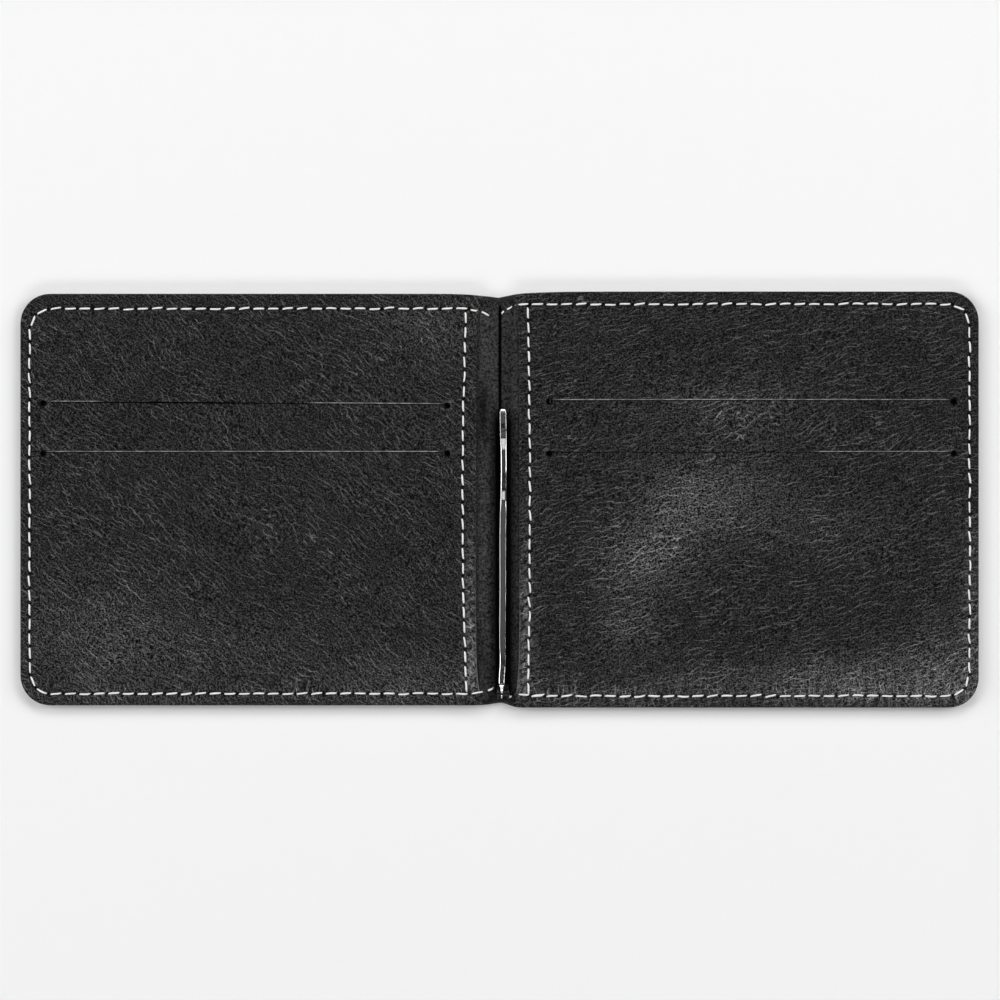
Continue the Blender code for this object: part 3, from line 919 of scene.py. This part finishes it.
def markHoles(side, centres, gx, gy, x, y, lip):
    # Pits, painted dark as painted shade, at the needle holes and round the slits' end holes, whose rims
    # carry a painted highlight on the side towards the fold.
    pit = np.zeros_like(x)
    for cx, cy in centres:
        dx, dy = gx - cx, gy - cy
        away = np.maximum(np.abs(dx), np.abs(dy)) - facePanel["holeRadius"]
        pit = np.maximum(pit, 0.6 * bell(np.maximum(away, 0.0), 0.1) * (away < 0.4))
        corner = ease((0.3 * dy - sides[side] * dx) / 0.8)
        lip = np.maximum(lip, 0.45 * bell(away - 0.3, 0.14) * corner * (np.abs(away) < 0.7))
    for hx, hy in np.concatenate(needleHoles(side)):
        pit = np.maximum(pit, bell(np.hypot(x - hx, y - hy), facePanel["pitWidth"]))
    return pit, lip


def drawnRidges(x, y, size, bottomRow, sway, outwards):
    # Ridges that the thread draws along the bottom and the outer edge: a squared raised cosine along
    # the row, swayed by a ripple, that fades away from the row.
    bottomRate, edgeRate = facePanel["ridgeRates"]
    nearBottom = np.exp(-np.abs(y - bottomRow - 0.3) / 3.0)
    nearEdge = bell(size["outer"] - np.abs(x) - 2.0, 2.0)
    alongBottom = (0.5 + 0.5 * np.cos(x * bottomRate + sway)) ** 2 * nearBottom * (0.35 + 0.65 * outwards)
    alongEdge = (0.5 + 0.5 * np.cos(y * edgeRate + sway)) ** 2 * nearEdge * ease(-y / 20.0)
    return np.maximum(alongBottom, alongEdge)


def makeFace(side):
    # A thin slab of leather: its top is a height over a grid of x and y, its underside the same height
    # less the thickness, with two slits and their end holes cut through.
    size, look, slits = panelSize(side), facePanel, slitsOf(side)
    seed = look["seed"][side]
    seams, (topRow, bottomRow) = seamPlaces(side), rowPlaces(side)
    gx, gy, keep, centres, inset = faceGrid(side, size, slits)
    fromFold, upwards = np.abs(gx) - size["inner"], gy / size["height"]
    beside = np.exp(-np.maximum(fromFold, 0.0) / innerEdgeLine["reach"])
    back = innerEdgeLine["back"][side] * np.abs(upwards) ** innerEdgeLine["power"]
    moved = gx + size["sign"] * (innerEdgeLine["out"][side] - back) * beside
    x, y = shapeOutline(moved, gy, size)
    x, y = roundHoles(x, y, centres, look["holeRadius"])
    share, rim = slopeShare(gx, gy, size, look["rise"]), rimTop(gx, size)
    top = rim + (look["middle"] - rim) * share
    top += share * sum(power * ripple(x, y, long, seed + n) for n, (power, long) in enumerate(look["swells"]))
    top += look["unevenness"][0] * ripple(x, y, look["unevenness"][1], seed + 2)
    lip = openSlits(side, slits, gx, gy, y, top)
    pit, lip = markHoles(side, centres, gx, gy, x, y, lip)
    top -= look["pitDepth"] * np.where(pit > 0.99, 1.0, pit)
    depth, wide = look["seamSink"]
    for away in (gx - seams[0], gx - seams[1], gy - topRow, gy - bottomRow):
        top -= depth * bell(away, wide)
    holes = needleHoles(side)[0]
    top += puckers(x, y, holes[holes[:, 1] < bottomRow + 1.0], *look["puckers"][side])
    rounding = look["edgeRound"] * quarterRound(inset, look["edgeWidth"])
    gloss = sum(spot(x, y, *values) for values in glossSpots[side])
    outwards = ease((x - look["outwards"][0]) / look["outwards"][1])
    least, gain = look["puckerTone"][side]
    # painted highlight along the bottom row's puckers
    pucker = np.exp(-np.abs(y - bottomRow - 0.6) / 2.6) * (least + gain * outwards)
    # On the right the thread's ridges are raised and also painted paler, as painted sheen and painted
    # highlight.
    if side == "right":
        sway = 1.2 * ripple(x, y, 7.0, seed + 8)
        ridges = drawnRidges(x, y, size, bottomRow, sway, outwards)
        gloss = gloss * (0.7 + 0.3 * ridges) + 0.8 * ridges
        lip = np.maximum(lip, 0.3 * ridges * ease(0.3 + 1.2 * ripple(x, y, 1.2, seed + 9)))
        top += look["ridgeHeight"] * ridges
    # The leather is crumpled beside the fold's lower half, with painted highlights and painted sheen on its
    # crinkles, and a thin painted highlight runs along its inner edge between the rows.
    crinkled = bell(fromFold - 1.6, 1.3) * ease(0.15 - upwards) * ease((gy - bottomRow) / 2.0)
    crumple = ripple(x, y, look["crumpleLength"], seed + 5)
    gloss = np.clip(gloss + 0.9 * crinkled * ease(0.5 + 0.7 * crumple), 0.0, 1.0)
    top += look["crumpleHeight"] * crinkled * crumple
    betweenRows = ease((topRow - gy) / 0.8) * ease((gy - bottomRow) / 0.8)
    worn = bell(fromFold - look["sideGap"] - 0.1, 0.16) * (0.1 + 0.9 * ease(-0.2 - upwards)) * betweenRows
    under = top - look["thickness"] + 0.6 * rounding + look["pitDepth"] * pit
    lip *= 0.45 + 0.55 * ease(0.5 + 0.6 * ripple(x, y, 2.2, seed + 6))
    lip = np.maximum(lip, 0.45 * crinkled * ease(1.6 * (ripple(x, y, 1.5, seed + 7) - 0.5)))
    face = putSlab(
        side + "FaceSheet", x, y, top - rounding, under, keep, finishes[side + "Face"],
        edge=1.0 - ease(inset / look["paintWidth"]), pit=pit, lip=np.maximum(lip, 0.5 * worn), gloss=gloss,
        pucker=pucker,
    )
    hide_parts(side + "_face")
    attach(face, side + "_panel")


for side in sides:
    makeFace(side)
print("inner faces made")


coverPanel = {
    "step": 1.1,
    "rim": (0.0, 0.08, 0.2, 0.42),
    "edgeRound": 0.35,
    "edgeWidth": 0.42,
    "burnishWidth": 0.6,
    "rimTop": 1.3,          # skived edge swells a little where it is sewn
    "rise": 4.0,
    "blendReach": 2.1,      # each side of the fold's line
    "grooveDepth": 0.3,
    "grooveWidth": 0.5,
    "lift": 0.02,
}


def blendAtFold(piece):
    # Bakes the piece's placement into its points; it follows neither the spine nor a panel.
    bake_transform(piece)


def makeCover(side):
    # One half of the outer leather, from the middle of the spine to the outer edge: a slab that is
    # skived thinner over the spine, with a groove for the thread along each row on its outside.
    size, look = panelSize(side), coverPanel
    height = size["height"]
    xLow, xHigh = sorted((spineMiddle(), size["sign"] * size["outer"]))
    seams, rowSeams = seamPlaces(side), rowPlaces(side)
    outerEnd = [size["sign"] * (size["outer"] - r) for r in look["rim"]]
    grooveLines = (-0.6, -0.3, 0.0, 0.3, 0.6)
    foldLines = [foldX(side) + d for d in np.arange(-4.0, 4.1, 0.5)]
    columns = lines(xLow, xHigh, look["step"], outerEnd + nearEach(seams, grooveLines) + foldLines)
    ends = edgeLines(-height, height, look["rim"])
    rows = lines(-height, height, look["step"], ends + nearEach(rowSeams, grooveLines))
    gx, gy = np.meshgrid(columns, rows)
    x, y = shapeOutline(gx, gy, size)
    spineShare = 1.0 - ease((np.abs(gx) - size["inner"] + 1.5) / 3.0)
    flatTop = size["top"] + (look["rimTop"] - size["top"]) * (1.0 - slopeShare(gx, gy, size, look["rise"]))
    top = flatTop + (boxOf("spine_cover")[1][2] - flatTop) * spineShare
    fromEdge = size["outer"] - np.abs(gx)
    inset = np.minimum(fromEdge, height - np.abs(gy))
    rounding = look["edgeRound"] * quarterRound(inset, look["edgeWidth"])
    onPanel = ease((fromEdge - stitching["outerInset"] + 0.9) / 0.5)
    rowEnds = ease((height - np.abs(gy) - 2.0) / 0.5)
    groove = np.zeros_like(top)
    for seam in seams:
        groove = np.maximum(groove, bell(gx - seam, look["grooveWidth"]) * rowEnds)
    for seam in rowSeams:
        groove = np.maximum(groove, bell(gy - seam, look["grooveWidth"]) * onPanel)
    under = rounding + look["grooveDepth"] * groove + look["lift"]
    cover = putSlab(
        side + "CoverLeather", x, y, top - 0.4 * rounding, under,
        np.ones((len(rows) - 1, len(columns) - 1), bool), finishes["cover"],
        edge=1.0 - ease(inset / look["burnishWidth"]),
    )
    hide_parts(side + "_cover", "spine_cover")
    blendAtFold(cover)


for side in sides:
    makeCover(side)
print("outer cover made")


spineStrip = {
    "step": 0.35,
    "thickness": 0.35,
    "foldTop": 1.9,         # height where the strip comes out from under a face
    "overBase": 1.78,       # over the clip's base plate
    "groove": 1.25,         # lowest, beside the plate
    "grooveWidth": 0.75,
    "creaseWidth": 1.5,
    "foldLine": 0.1,        # where the strip is creased beyond the bar's free end
    "foldWidth": 0.8,
    "endInset": 0.25,
    "slotHalfWidth": 1.55,  # the slot round the clip's ears
    "slotLength": 2.6,
    "ripples": ((0.05, 2.6, 31), (0.035, 1.1, 32)),     # height, length and seed
    # painted shade patches on the nap: place, reach along x and y, strength
    "shades": ((-3.6, 19.0, 1.3, 8.0, 0.8), (1.8, 30.0, 1.6, 13.0, 0.4), (-3.0, -36.0, 2.5, 9.0, 0.4)),
}


def makeStrip(side):
    # One half of the napped strip, from under the face to the middle of the spine. Its height dips
    # into a crease on each side of the clip's plate, and it stops short of the ears.
    size, look = panelSize(side), spineStrip
    flap, (armLow, armHigh) = boxOf(side + "_strip_flap"), boxOf("clip_arm")
    baseLow, baseHigh = boxOf("clip_base")
    clipX = (armLow[0] + armHigh[0]) / 2.0
    slotHalf, slotTop = look["slotHalfWidth"], armLow[1] + look["slotLength"]
    xLow, xHigh = sorted((spineMiddle(), flap[0][0] if side == "left" else flap[1][0]))
    fineFold = [(look["foldLine"], look["foldWidth"], 0.1)]
    columns = lines(xLow, xHigh, look["step"], [clipX - slotHalf, clipX + slotHalf], fineFold)
    end = boxOf("spine_cover")[1][1] - look["endInset"]
    gx, gy = np.meshgrid(columns, lines(-end, end, look["step"], [slotTop]))
    midX, midY = cellMiddles(gx, gy)
    keep = ~((np.abs(midX - clipX) < slotHalf) & (midY < slotTop))
    out = np.abs(gx - clipX)
    fromLine = gx - look["foldLine"]
    plate = (baseHigh[0] - baseLow[0]) / 2.0
    plateEnd = ease((baseHigh[1] + 1.5 - gy) / 3.0)
    dip = bell(out - plate - look["grooveWidth"], look["grooveWidth"])
    underFace = ease((np.abs(gx) - size["inner"] + 0.6) / 1.4)
    flat = look["foldTop"] + (flap[1][2] - 0.05 - look["foldTop"]) * underFace
    crease = bell(fromLine, look["foldWidth"])
    top = flat - (look["foldTop"] - look["groove"]) * np.maximum(dip, crease * (1 - plateEnd))
    top = top + (look["overBase"] - top) * (ease((plate + 0.5 - out) / 0.6) * plateEnd)
    top += sum(power * ripple(gx, gy, long, seed) for power, long, seed in look["ripples"])
    top = np.minimum(top, flat + 0.02)
    x, y = shapeOutline(gx, gy, size)
    y = np.clip(y, -end, end)
    # painted shade: black beside the bar and in the fold past its free end, and patches; less on the smooth
    # rim
    besideBar = np.clip(1.7 * bell(out, look["creaseWidth"] + 0.6), 0.0, 1.0)
    inFold = np.clip(1.5 * bell(fromLine, 0.36), 0.0, 1.0)
    dark = inFold + (besideBar - inFold) * ease((armHigh[1] + 4.0 - gy) / 8.0)
    for values in look["shades"]:
        dark = np.maximum(dark, spot(gx, gy, *values))
    topRow, bottomRow = rowPlaces(side)
    rim = np.maximum(ease((y - topRow + stitching["seamEnd"]) / 0.6), ease((bottomRow - y) / 0.6))
    strip = putSlab(
        side + "SpineStrip", x, y, top, top - look["thickness"], keep, finishes["suede"],
        crease=dark * (1.0 - 0.6 * rim), rim=rim,
    )
    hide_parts("spine_strip", side + "_strip_flap")
    blendAtFold(strip)


for side in sides:
    makeStrip(side)
print("spine strip made")


pocketLining = {
    "thickness": 0.1,
    "pastSlit": 1.6,        # how much wider than the slit, each end
    "turn": 0.3,            # radius of the fold along the bottom
    "leaves": {"upper": (0.12, 0.34), "lower": (0.56, 0.80)},
}


def makePocket(side, level):
    # Cloth folded once along its bottom: a path down the back leaf and up the front one, carried
    # along x. Each leaf keeps its share of the space between the board and the face.
    look, size = pocketLining, panelSize(side)
    low, high = boxOf(side + "_" + level + "_pocket")
    back, front = look["leaves"][level]
    turn, foldY = look["turn"], low[1] + look["turn"]
    downY = np.linspace(high[1], foldY, 24)
    upY = np.linspace(foldY, slitsOf(side)[level]["y"] - 0.5, 24)
    angle = np.radians(np.linspace(0.0, 180.0, 7)[1:-1])
    pathY = np.concatenate([downY, foldY - turn * np.sin(angle), upY])
    turning = back + (front - back) * (1.0 - np.cos(angle)) / 2.0
    shareZ = np.concatenate([np.full(len(downY), back), turning, np.full(len(upY), front)])
    across = np.linspace(low[0] - look["pastSlit"], high[0] + look["pastSlit"], 40)
    gx, gy = np.meshgrid(across, pathY)
    slope = slopeShare(gx, gy, size, facePanel["rise"])
    floorZ = boxOf(side + "_stiffener")[1][2] - 0.3 * (1.0 - slope)
    faceTop = facePanel["outerRim"] + (facePanel["middle"] - facePanel["outerRim"]) * slope
    z = floorZ + 0.08 + (faceTop - facePanel["thickness"] - 0.2 - floorZ) * shareZ[:, None]
    pocket = putMesh(
        side + level.capitalize() + "Lining", np.stack([gx, gy, z], -1).reshape(-1, 3),
        gridFaces(len(pathY), len(across)), finishes["lining"],
    )
    wall = pocket.modifiers.new("cloth", "SOLIDIFY")
    wall.thickness = look["thickness"] * mm
    wall.offset = 0.0
    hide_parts(side + "_" + level + "_pocket")
    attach(pocket, side + "_panel")


for side in sides:
    for level in ("upper", "lower"):
        makePocket(side, level)
print("pocket linings made")


def makeStitches(name, starts, stops, heightAt, seed, facing=1.0):
    # Each stitch is a short tube from hole to hole: it rises out of one, lies along the leather and
    # dips into the next. Rings of six points are carried along that bow, all stitches at once.
    look = stitching
    rng = np.random.default_rng(seed)
    count, ring, rings = len(starts), 6, 8
    span = stops - starts
    length = np.hypot(span[:, 0], span[:, 1])
    unit = span / length[:, None]
    side = np.stack([-unit[:, 1], unit[:, 0]], -1)
    tilt = rng.normal(look["tilt"], look["tiltSpread"], count)
    bend = rng.normal(0.0, look["bendSpread"], count)
    shift = rng.normal(0.0, look["wander"] * 0.5, count)
    size = rng.uniform(*look["sizes"], count)
    t = np.linspace(0.0, 1.0, rings)
    s = 2.0 * t - 1.0       # -1 at the first hole and 1 at the next
    reach = (length / 2.0 - look["holeGap"])[:, None] * s[None, :]
    aside = shift[:, None] + tilt[:, None] * reach + bend[:, None] * (1.0 - s ** 2)
    aside += look["hook"] * s ** 5
    middle = (starts + stops) / 2.0
    cx, cy = (middle[:, n, None] + unit[:, n, None] * reach + side[:, n, None] * aside for n in (0, 1))
    bow = 1.0 - np.abs(s) ** 5
    fullness = look["endSize"] + (1.0 - look["endSize"]) * (1.0 - np.abs(s) ** 4)
    radius = look["radius"] * size[:, None] * fullness[None, :]
    cz = heightAt(cx) + facing * (radius * look["rise"] * bow - look["dip"] * (1.0 - bow))
    angle = np.arange(ring) / ring * 2.0 * math.pi
    px, py = (
        centre[..., None] + side[:, n, None, None] * radius[..., None] * np.cos(angle)
        for n, centre in enumerate((cx, cy))
    )
    pz = cz[..., None] + radius[..., None] * np.sin(angle) * look["flatten"]
    caps = np.stack([np.stack([cx[:, e], cy[:, e], cz[:, e]], -1) for e in (0, -1)], 1)
    points = np.concatenate([np.stack([px, py, pz], -1).reshape(count, -1, 3), caps], 1)
    u = np.repeat((t[None, :] * length[:, None])[..., None], ring, -1)
    v = np.broadcast_to(np.arange(ring) / ring, u.shape)
    uv = np.concatenate([np.stack([u, v], -1).reshape(count, -1, 2), np.zeros((count, 2, 2))], 1)
    offset = (np.arange(count) * (rings * ring + 2))[:, None, None]
    quads, fans = (faces[None] + offset for faces in tubeFaces(rings, ring))
    piece = putMesh(
        name, points.reshape(-1, 3), quads.reshape(-1, 4), finishes["thread"], uv.reshape(-1, 2),
        fans.reshape(-1, 3),
    )
    return piece


def makePanelStitches(side):
    # The panel's rows inside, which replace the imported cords, and the same rows outside. On the right
    # a back stitch locks the row where it ends.
    size, seed = panelSize(side), stitching["seed"][side]
    perimeter, seam = needleHoles(side)
    outside = (("Perimeter", perimeter[:-1], perimeter[1:]), ("Seam", seam[:-1], seam[1:]))
    inside = list(outside)
    if side == "right":
        backStart, backStop = stitching["backStitch"]
        starts = np.concatenate([perimeter[:-1], perimeter[-1:] + backStart])
        inside[0] = ("Perimeter", starts, np.concatenate([perimeter[1:], perimeter[-2:-1] + backStop]))
    for number, (row, starts, stops) in enumerate(inside):
        piece = makeStitches(
            side + row + "Stitches", starts, stops, lambda x: rimTop(x, size) - stitching["sink"],
            seed + number,
        )
        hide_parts(side + "_" + row.lower() + "_thread")
        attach(piece, side + "_panel")
    radii, extra = stitching["outsideHeight"]
    for number, (row, starts, stops) in enumerate(outside):
        piece = makeStitches(
            side + "Outside" + row + "Stitches", starts, stops,
            lambda x: 0.0 * x + (stitching["radius"] * radii + extra), seed + 2 + number, -1.0,
        )
        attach(piece, side + "_panel")


for side in sides:
    makePanelStitches(side)


acrossSpine = {
    # each stitch: its row, then for both ends how far from the middle and how far in from the row's line
    "left": (
        ("top", (6.75, 0.1), (4.4, 0.45)), ("top", (4.4, 0.6), (1.9, 1.9)),
        ("bottom", (6.75, 0.1), (3.1, 0.3)), ("bottom", (3.0, 0.5), (1.1, 1.4)),
    ),
    "right": (
        ("top", (6.75, 0.0), (3.1, 0.15)), ("top", (3.0, 0.4), (1.2, 1.4)), ("top", (1.2, 1.4), (0.2, 2.2)),
        ("bottom", (6.75, 0.2), (3.1, 0.4)), ("bottom", (2.9, -0.1), (1.9, 0.2)),
    ),
}


def spineThreadHeight(x):  # the rows dip towards the bar with the leather
    least, climb, start, width = stitching["spineHeight"]
    return least + climb * ease((np.abs(x) - start) / width)


def makeSpineStitches(side):
    rowAt = dict(zip(("top", "bottom"), rowPlaces(side)))
    starts, stops = (
        np.array([
            (sides[side] * stitch[end][0], rowAt[stitch[0]] - np.sign(rowAt[stitch[0]]) * stitch[end][1])
            for stitch in acrossSpine[side]
        ])
        for end in (1, 2)
    )
    piece = makeStitches(side + "SpineStitches", starts, stops, spineThreadHeight, stitching["spineSeed"])
    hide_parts("spine_top_thread", "spine_bottom_" + side + "_thread")
    blendAtFold(piece)


for side in sides:
    makeSpineStitches(side)
print("stitches made")


clipBar = {
    "stations": 260,
    "ring": 40,
    "wiggle": 0.10,
    "knuckle": 1.1,
    "tailRound": 1.3,       # length of the rounding at the pin and at the free end
    "endRound": 1.0,
    "underPin": 0.5,        # the blade's underside below the pin's middle
    "tailShift": 0.3,       # the blade leans this far left at the pin
    "topGap": 0.06,         # the blade's highest place below the bar's own top
    # slopes of the blade's top along its length: from, to, slope
    "slopes": (
        (16.8, 15.7, -0.04), (15.7, 15.2, 0.10), (13.6, 11.2, -0.10), (11.2, 6.5, -0.045), (6.5, 2.0, 0.05),
        (2.0, -0.1, 0.09), (-34.0, -36.4, 0.012), (-36.6, -40.2, -0.05), (-40.2, -42.0, -0.12),
    ),
    "flatParts": ((-33.0, -2.0), (12.5, 19.4)),      # where the section has sharper corners
    "corners": (5.5, 9.0),  # the section's n, and how much more it is where the corners are sharp
}


def makeBar():
    # A rounded box section carried along the bar's length: |across|^n + |up|^n = 1 at each station. Its
    # half height, middle height, half width and n change along y; both ends close on one point. The
    # blade's top is the running sum of its slopes.
    look = clipBar
    low, high = boxOf("clip_arm")
    pinX, pinY, pinZ = jointPlace("clip_swing")
    ring, tailRound, endRound = look["ring"], look["tailRound"], look["endRound"]
    tail = pinY - look["knuckle"]
    ends = 1.0 - np.cos(np.linspace(0.0, math.pi / 2.0, 14))
    blade = np.linspace(tail + tailRound, high[1] - endRound, look["stations"])[1:-1]
    y = np.concatenate([tail + ends * tailRound, blade, high[1] - ends[::-1] * endRound])
    fromPin = y - pinY
    slope = np.zeros_like(y)
    for start, stop, rise in look["slopes"]:
        slope += rise * ease((start - y) / 0.5 + 0.5) * ease((y - stop) / 0.5 + 0.5)
    climb = np.concatenate([[0.0], np.cumsum(slope[1:] * np.diff(y))])
    bladeTop = high[2] - look["topGap"] + climb - climb[y > -30.0].max()
    knuckle = look["knuckle"] * np.sqrt(np.clip(1.0 - (fromPin / look["knuckle"]) ** 2, 0.0, 1.0))
    top, bottom = pinZ + knuckle, pinZ - knuckle
    top = top + (bladeTop - top) * ease((fromPin - 0.2) / 2.0)
    bottom = bottom + (pinZ - look["underPin"] - bottom) * ease((fromPin - 0.1) / 1.4)
    freeEnd = np.sqrt(np.clip(1.0 - np.clip(y - high[1] + endRound, 0.0, 1.0) ** 2, 0.0, 1.0))
    middle = (top + bottom) / 2.0
    half = (top - bottom) / 2.0 * np.where(fromPin > 10.0, 0.12 + 0.88 * freeEnd, 1.0)
    wide = (high[0] - low[0]) / 2.0 * (0.2 + 0.8 * ease((fromPin + 0.3) / 2.8)) * (0.25 + 0.75 * freeEnd)
    aside = look["wiggle"] * (np.sin(y * 0.105 + 0.9) + 0.5 * np.sin(y * 0.23)) * ease((y + 41.0) / 8.0)
    aside -= look["tailShift"] * ease((-35.0 - y) / 5.0)
    sharp = sum(ease((y - a) / 2.0 + 0.5) * ease((b - y) / 2.0 + 0.5) for a, b in look["flatParts"])
    power = (2.0 / (look["corners"][0] + look["corners"][1] * sharp))[:, None]
    angle = (np.arange(ring) / ring * 2.0 * math.pi)[None, :]
    across, up = (np.sign(wave) * np.abs(wave) ** power for wave in (np.cos(angle), np.sin(angle)))
    px = pinX + aside[:, None] + wide[:, None] * across
    pz = middle[:, None] + half[:, None] * up
    py = np.repeat(y[:, None], ring, 1)
    poles = [[pinX + aside[e], y[e] + past, middle[e]] for e, past in ((0, -0.02), (-1, 0.02))]
    points = np.concatenate([np.stack([px, py, pz], -1).reshape(-1, 3), poles])
    quads, fans = tubeFaces(len(y), ring)
    bar = putMesh("clipBar", points, quads, finishes["bar"], fans=fans)
    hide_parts("clip_arm")
    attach(bar, "clip_arm")


def dressNode(node, finish):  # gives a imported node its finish
    materials = frame["nodes"][node].data.materials
    materials.clear()
    materials.append(finishes[finish])


makeBar()
for node, finish in {
    "clip_base": "plate", "leaf_spring": "plate", "hinge_pin": "plate",
    "left_stiffener": "board", "right_stiffener": "board",
}.items():
    dressNode(node, finish)
print("clip made")


studio = {
    "floorSize": 3.0,       # these are metres
    "floorGrey": 0.86,
    "cameraLens": 160.0,
    "cameraSensor": 36.0,
    "frameWidth": 0.220,
    "world": 0.04,
    "overhead": 0.09,
    "card": 0.8,
    # where a direction's part along an axis fades each area in and out
    "overheadSpan": (0.8, 0.85),
    "asideSpan": (0.10, 0.14),
    "gapSpan": (0.04, 0.06, 0.13, 0.15),
    "cardSpan": (0.14, 0.16, 0.25, 0.28),
    # name: place, size, watts; each points at the middle of the wallet
    "lights": {
        "softLeft": ((-1.1, 0.25, 0.75), (0.9, 0.9), 11.5),
        "softRight": ((1.0, 0.35, 0.8), (0.8, 0.8), 9.5),
        "softBack": ((0.1, 1.1, 0.9), (1.2, 0.5), 8.5),
        "softFront": ((0.0, -1.1, 0.7), (1.2, 0.4), 6.0),
    },
}


def makeFloor():
    size = studio["floorSize"] / 2.0 / mm
    corners = ((-1, -1), (1, -1), (1, 1), (-1, 1))
    points = np.array([[size * x, size * y, -0.05] for x, y in corners])
    material, _, shader = newMaterial("paleFloor", 0.9, 0.0, 0.1)
    shader.inputs["Base Color"].default_value = grey(studio["floorGrey"])
    putMesh("floor", points, np.array([[0, 1, 2, 3]]), material)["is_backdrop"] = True


def makeLight(name, place, size, watts):
    light = bpy.data.lights.new(name, "AREA")
    light.shape = "RECTANGLE"
    light.size, light.size_y = size
    light.energy = watts
    lamp = bpy.data.objects.new(name, light)
    lamp.location = place
    lamp.rotation_euler = (-lamp.location).to_track_quat("-Z", "Y").to_euler()
    bpy.context.scene.collection.objects.link(lamp)


def makeCamera():
    data = bpy.data.cameras.new("camera")
    data.lens = studio["cameraLens"]
    data.sensor_width = studio["cameraSensor"]
    camera = bpy.data.objects.new("camera", data)
    distance = studio["cameraLens"] / studio["cameraSensor"] * studio["frameWidth"]
    camera.location = (0.0001, -0.0001, distance + 0.002)
    bpy.context.scene.collection.objects.link(camera)
    bpy.context.scene.camera = camera


def makeWorld():
    # A dim surround with a dark gap and then a light card on each side of straight overhead, which the
    # polished bar picks up. lean is how far a direction tips towards the far or near edge.
    world = bpy.data.worlds.new("studio")
    world.use_nodes = True
    tree = world.node_tree
    direction = addNode(tree, "ShaderNodeTexCoord").outputs["Generated"]
    parts = addNode(tree, "ShaderNodeSeparateXYZ", {0: direction}).outputs
    lean, aside = (maths(tree, "ABSOLUTE", parts[axis]) for axis in ("Y", "X"))

    def leanBand(start, full, fading, gone):
        return times(tree, spread(tree, lean, start, full), spread(tree, lean, fading, gone, 1.0, 0.0))

    nearAxis = spread(tree, aside, *studio["asideSpan"], 1.0, 0.0)
    overhead = times(tree, spread(tree, parts["Z"], *studio["overheadSpan"]), nearAxis)
    gap = times(tree, leanBand(*studio["gapSpan"]), overhead)
    card = times(tree, leanBand(*studio["cardSpan"]), overhead)
    soft = maths(tree, "MULTIPLY_ADD", overhead, studio["overhead"] - studio["world"], studio["world"])
    light = times(tree, maths(tree, "SUBTRACT", 1.0, gap), soft)
    light = maths(tree, "MULTIPLY_ADD", card, studio["card"], light)
    background = tree.nodes["Background"]
    background.inputs["Color"].default_value = grey(1.0)
    tree.links.new(light, background.inputs["Strength"])
    bpy.context.scene.world = world
    bpy.context.scene.view_settings.view_transform = "Standard"


makeFloor()
for name, (place, size, watts) in studio["lights"].items():
    makeLight(name, place, size, watts)
makeCamera()
makeWorld()
print("studio made")

low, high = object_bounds()
boxes = [[round(v / mm, 2) for v in (*least, *most)] for least, most in ((cadLow, cadHigh), (low, high))]
print("cad box", boxes[0], "visual box", boxes[1])
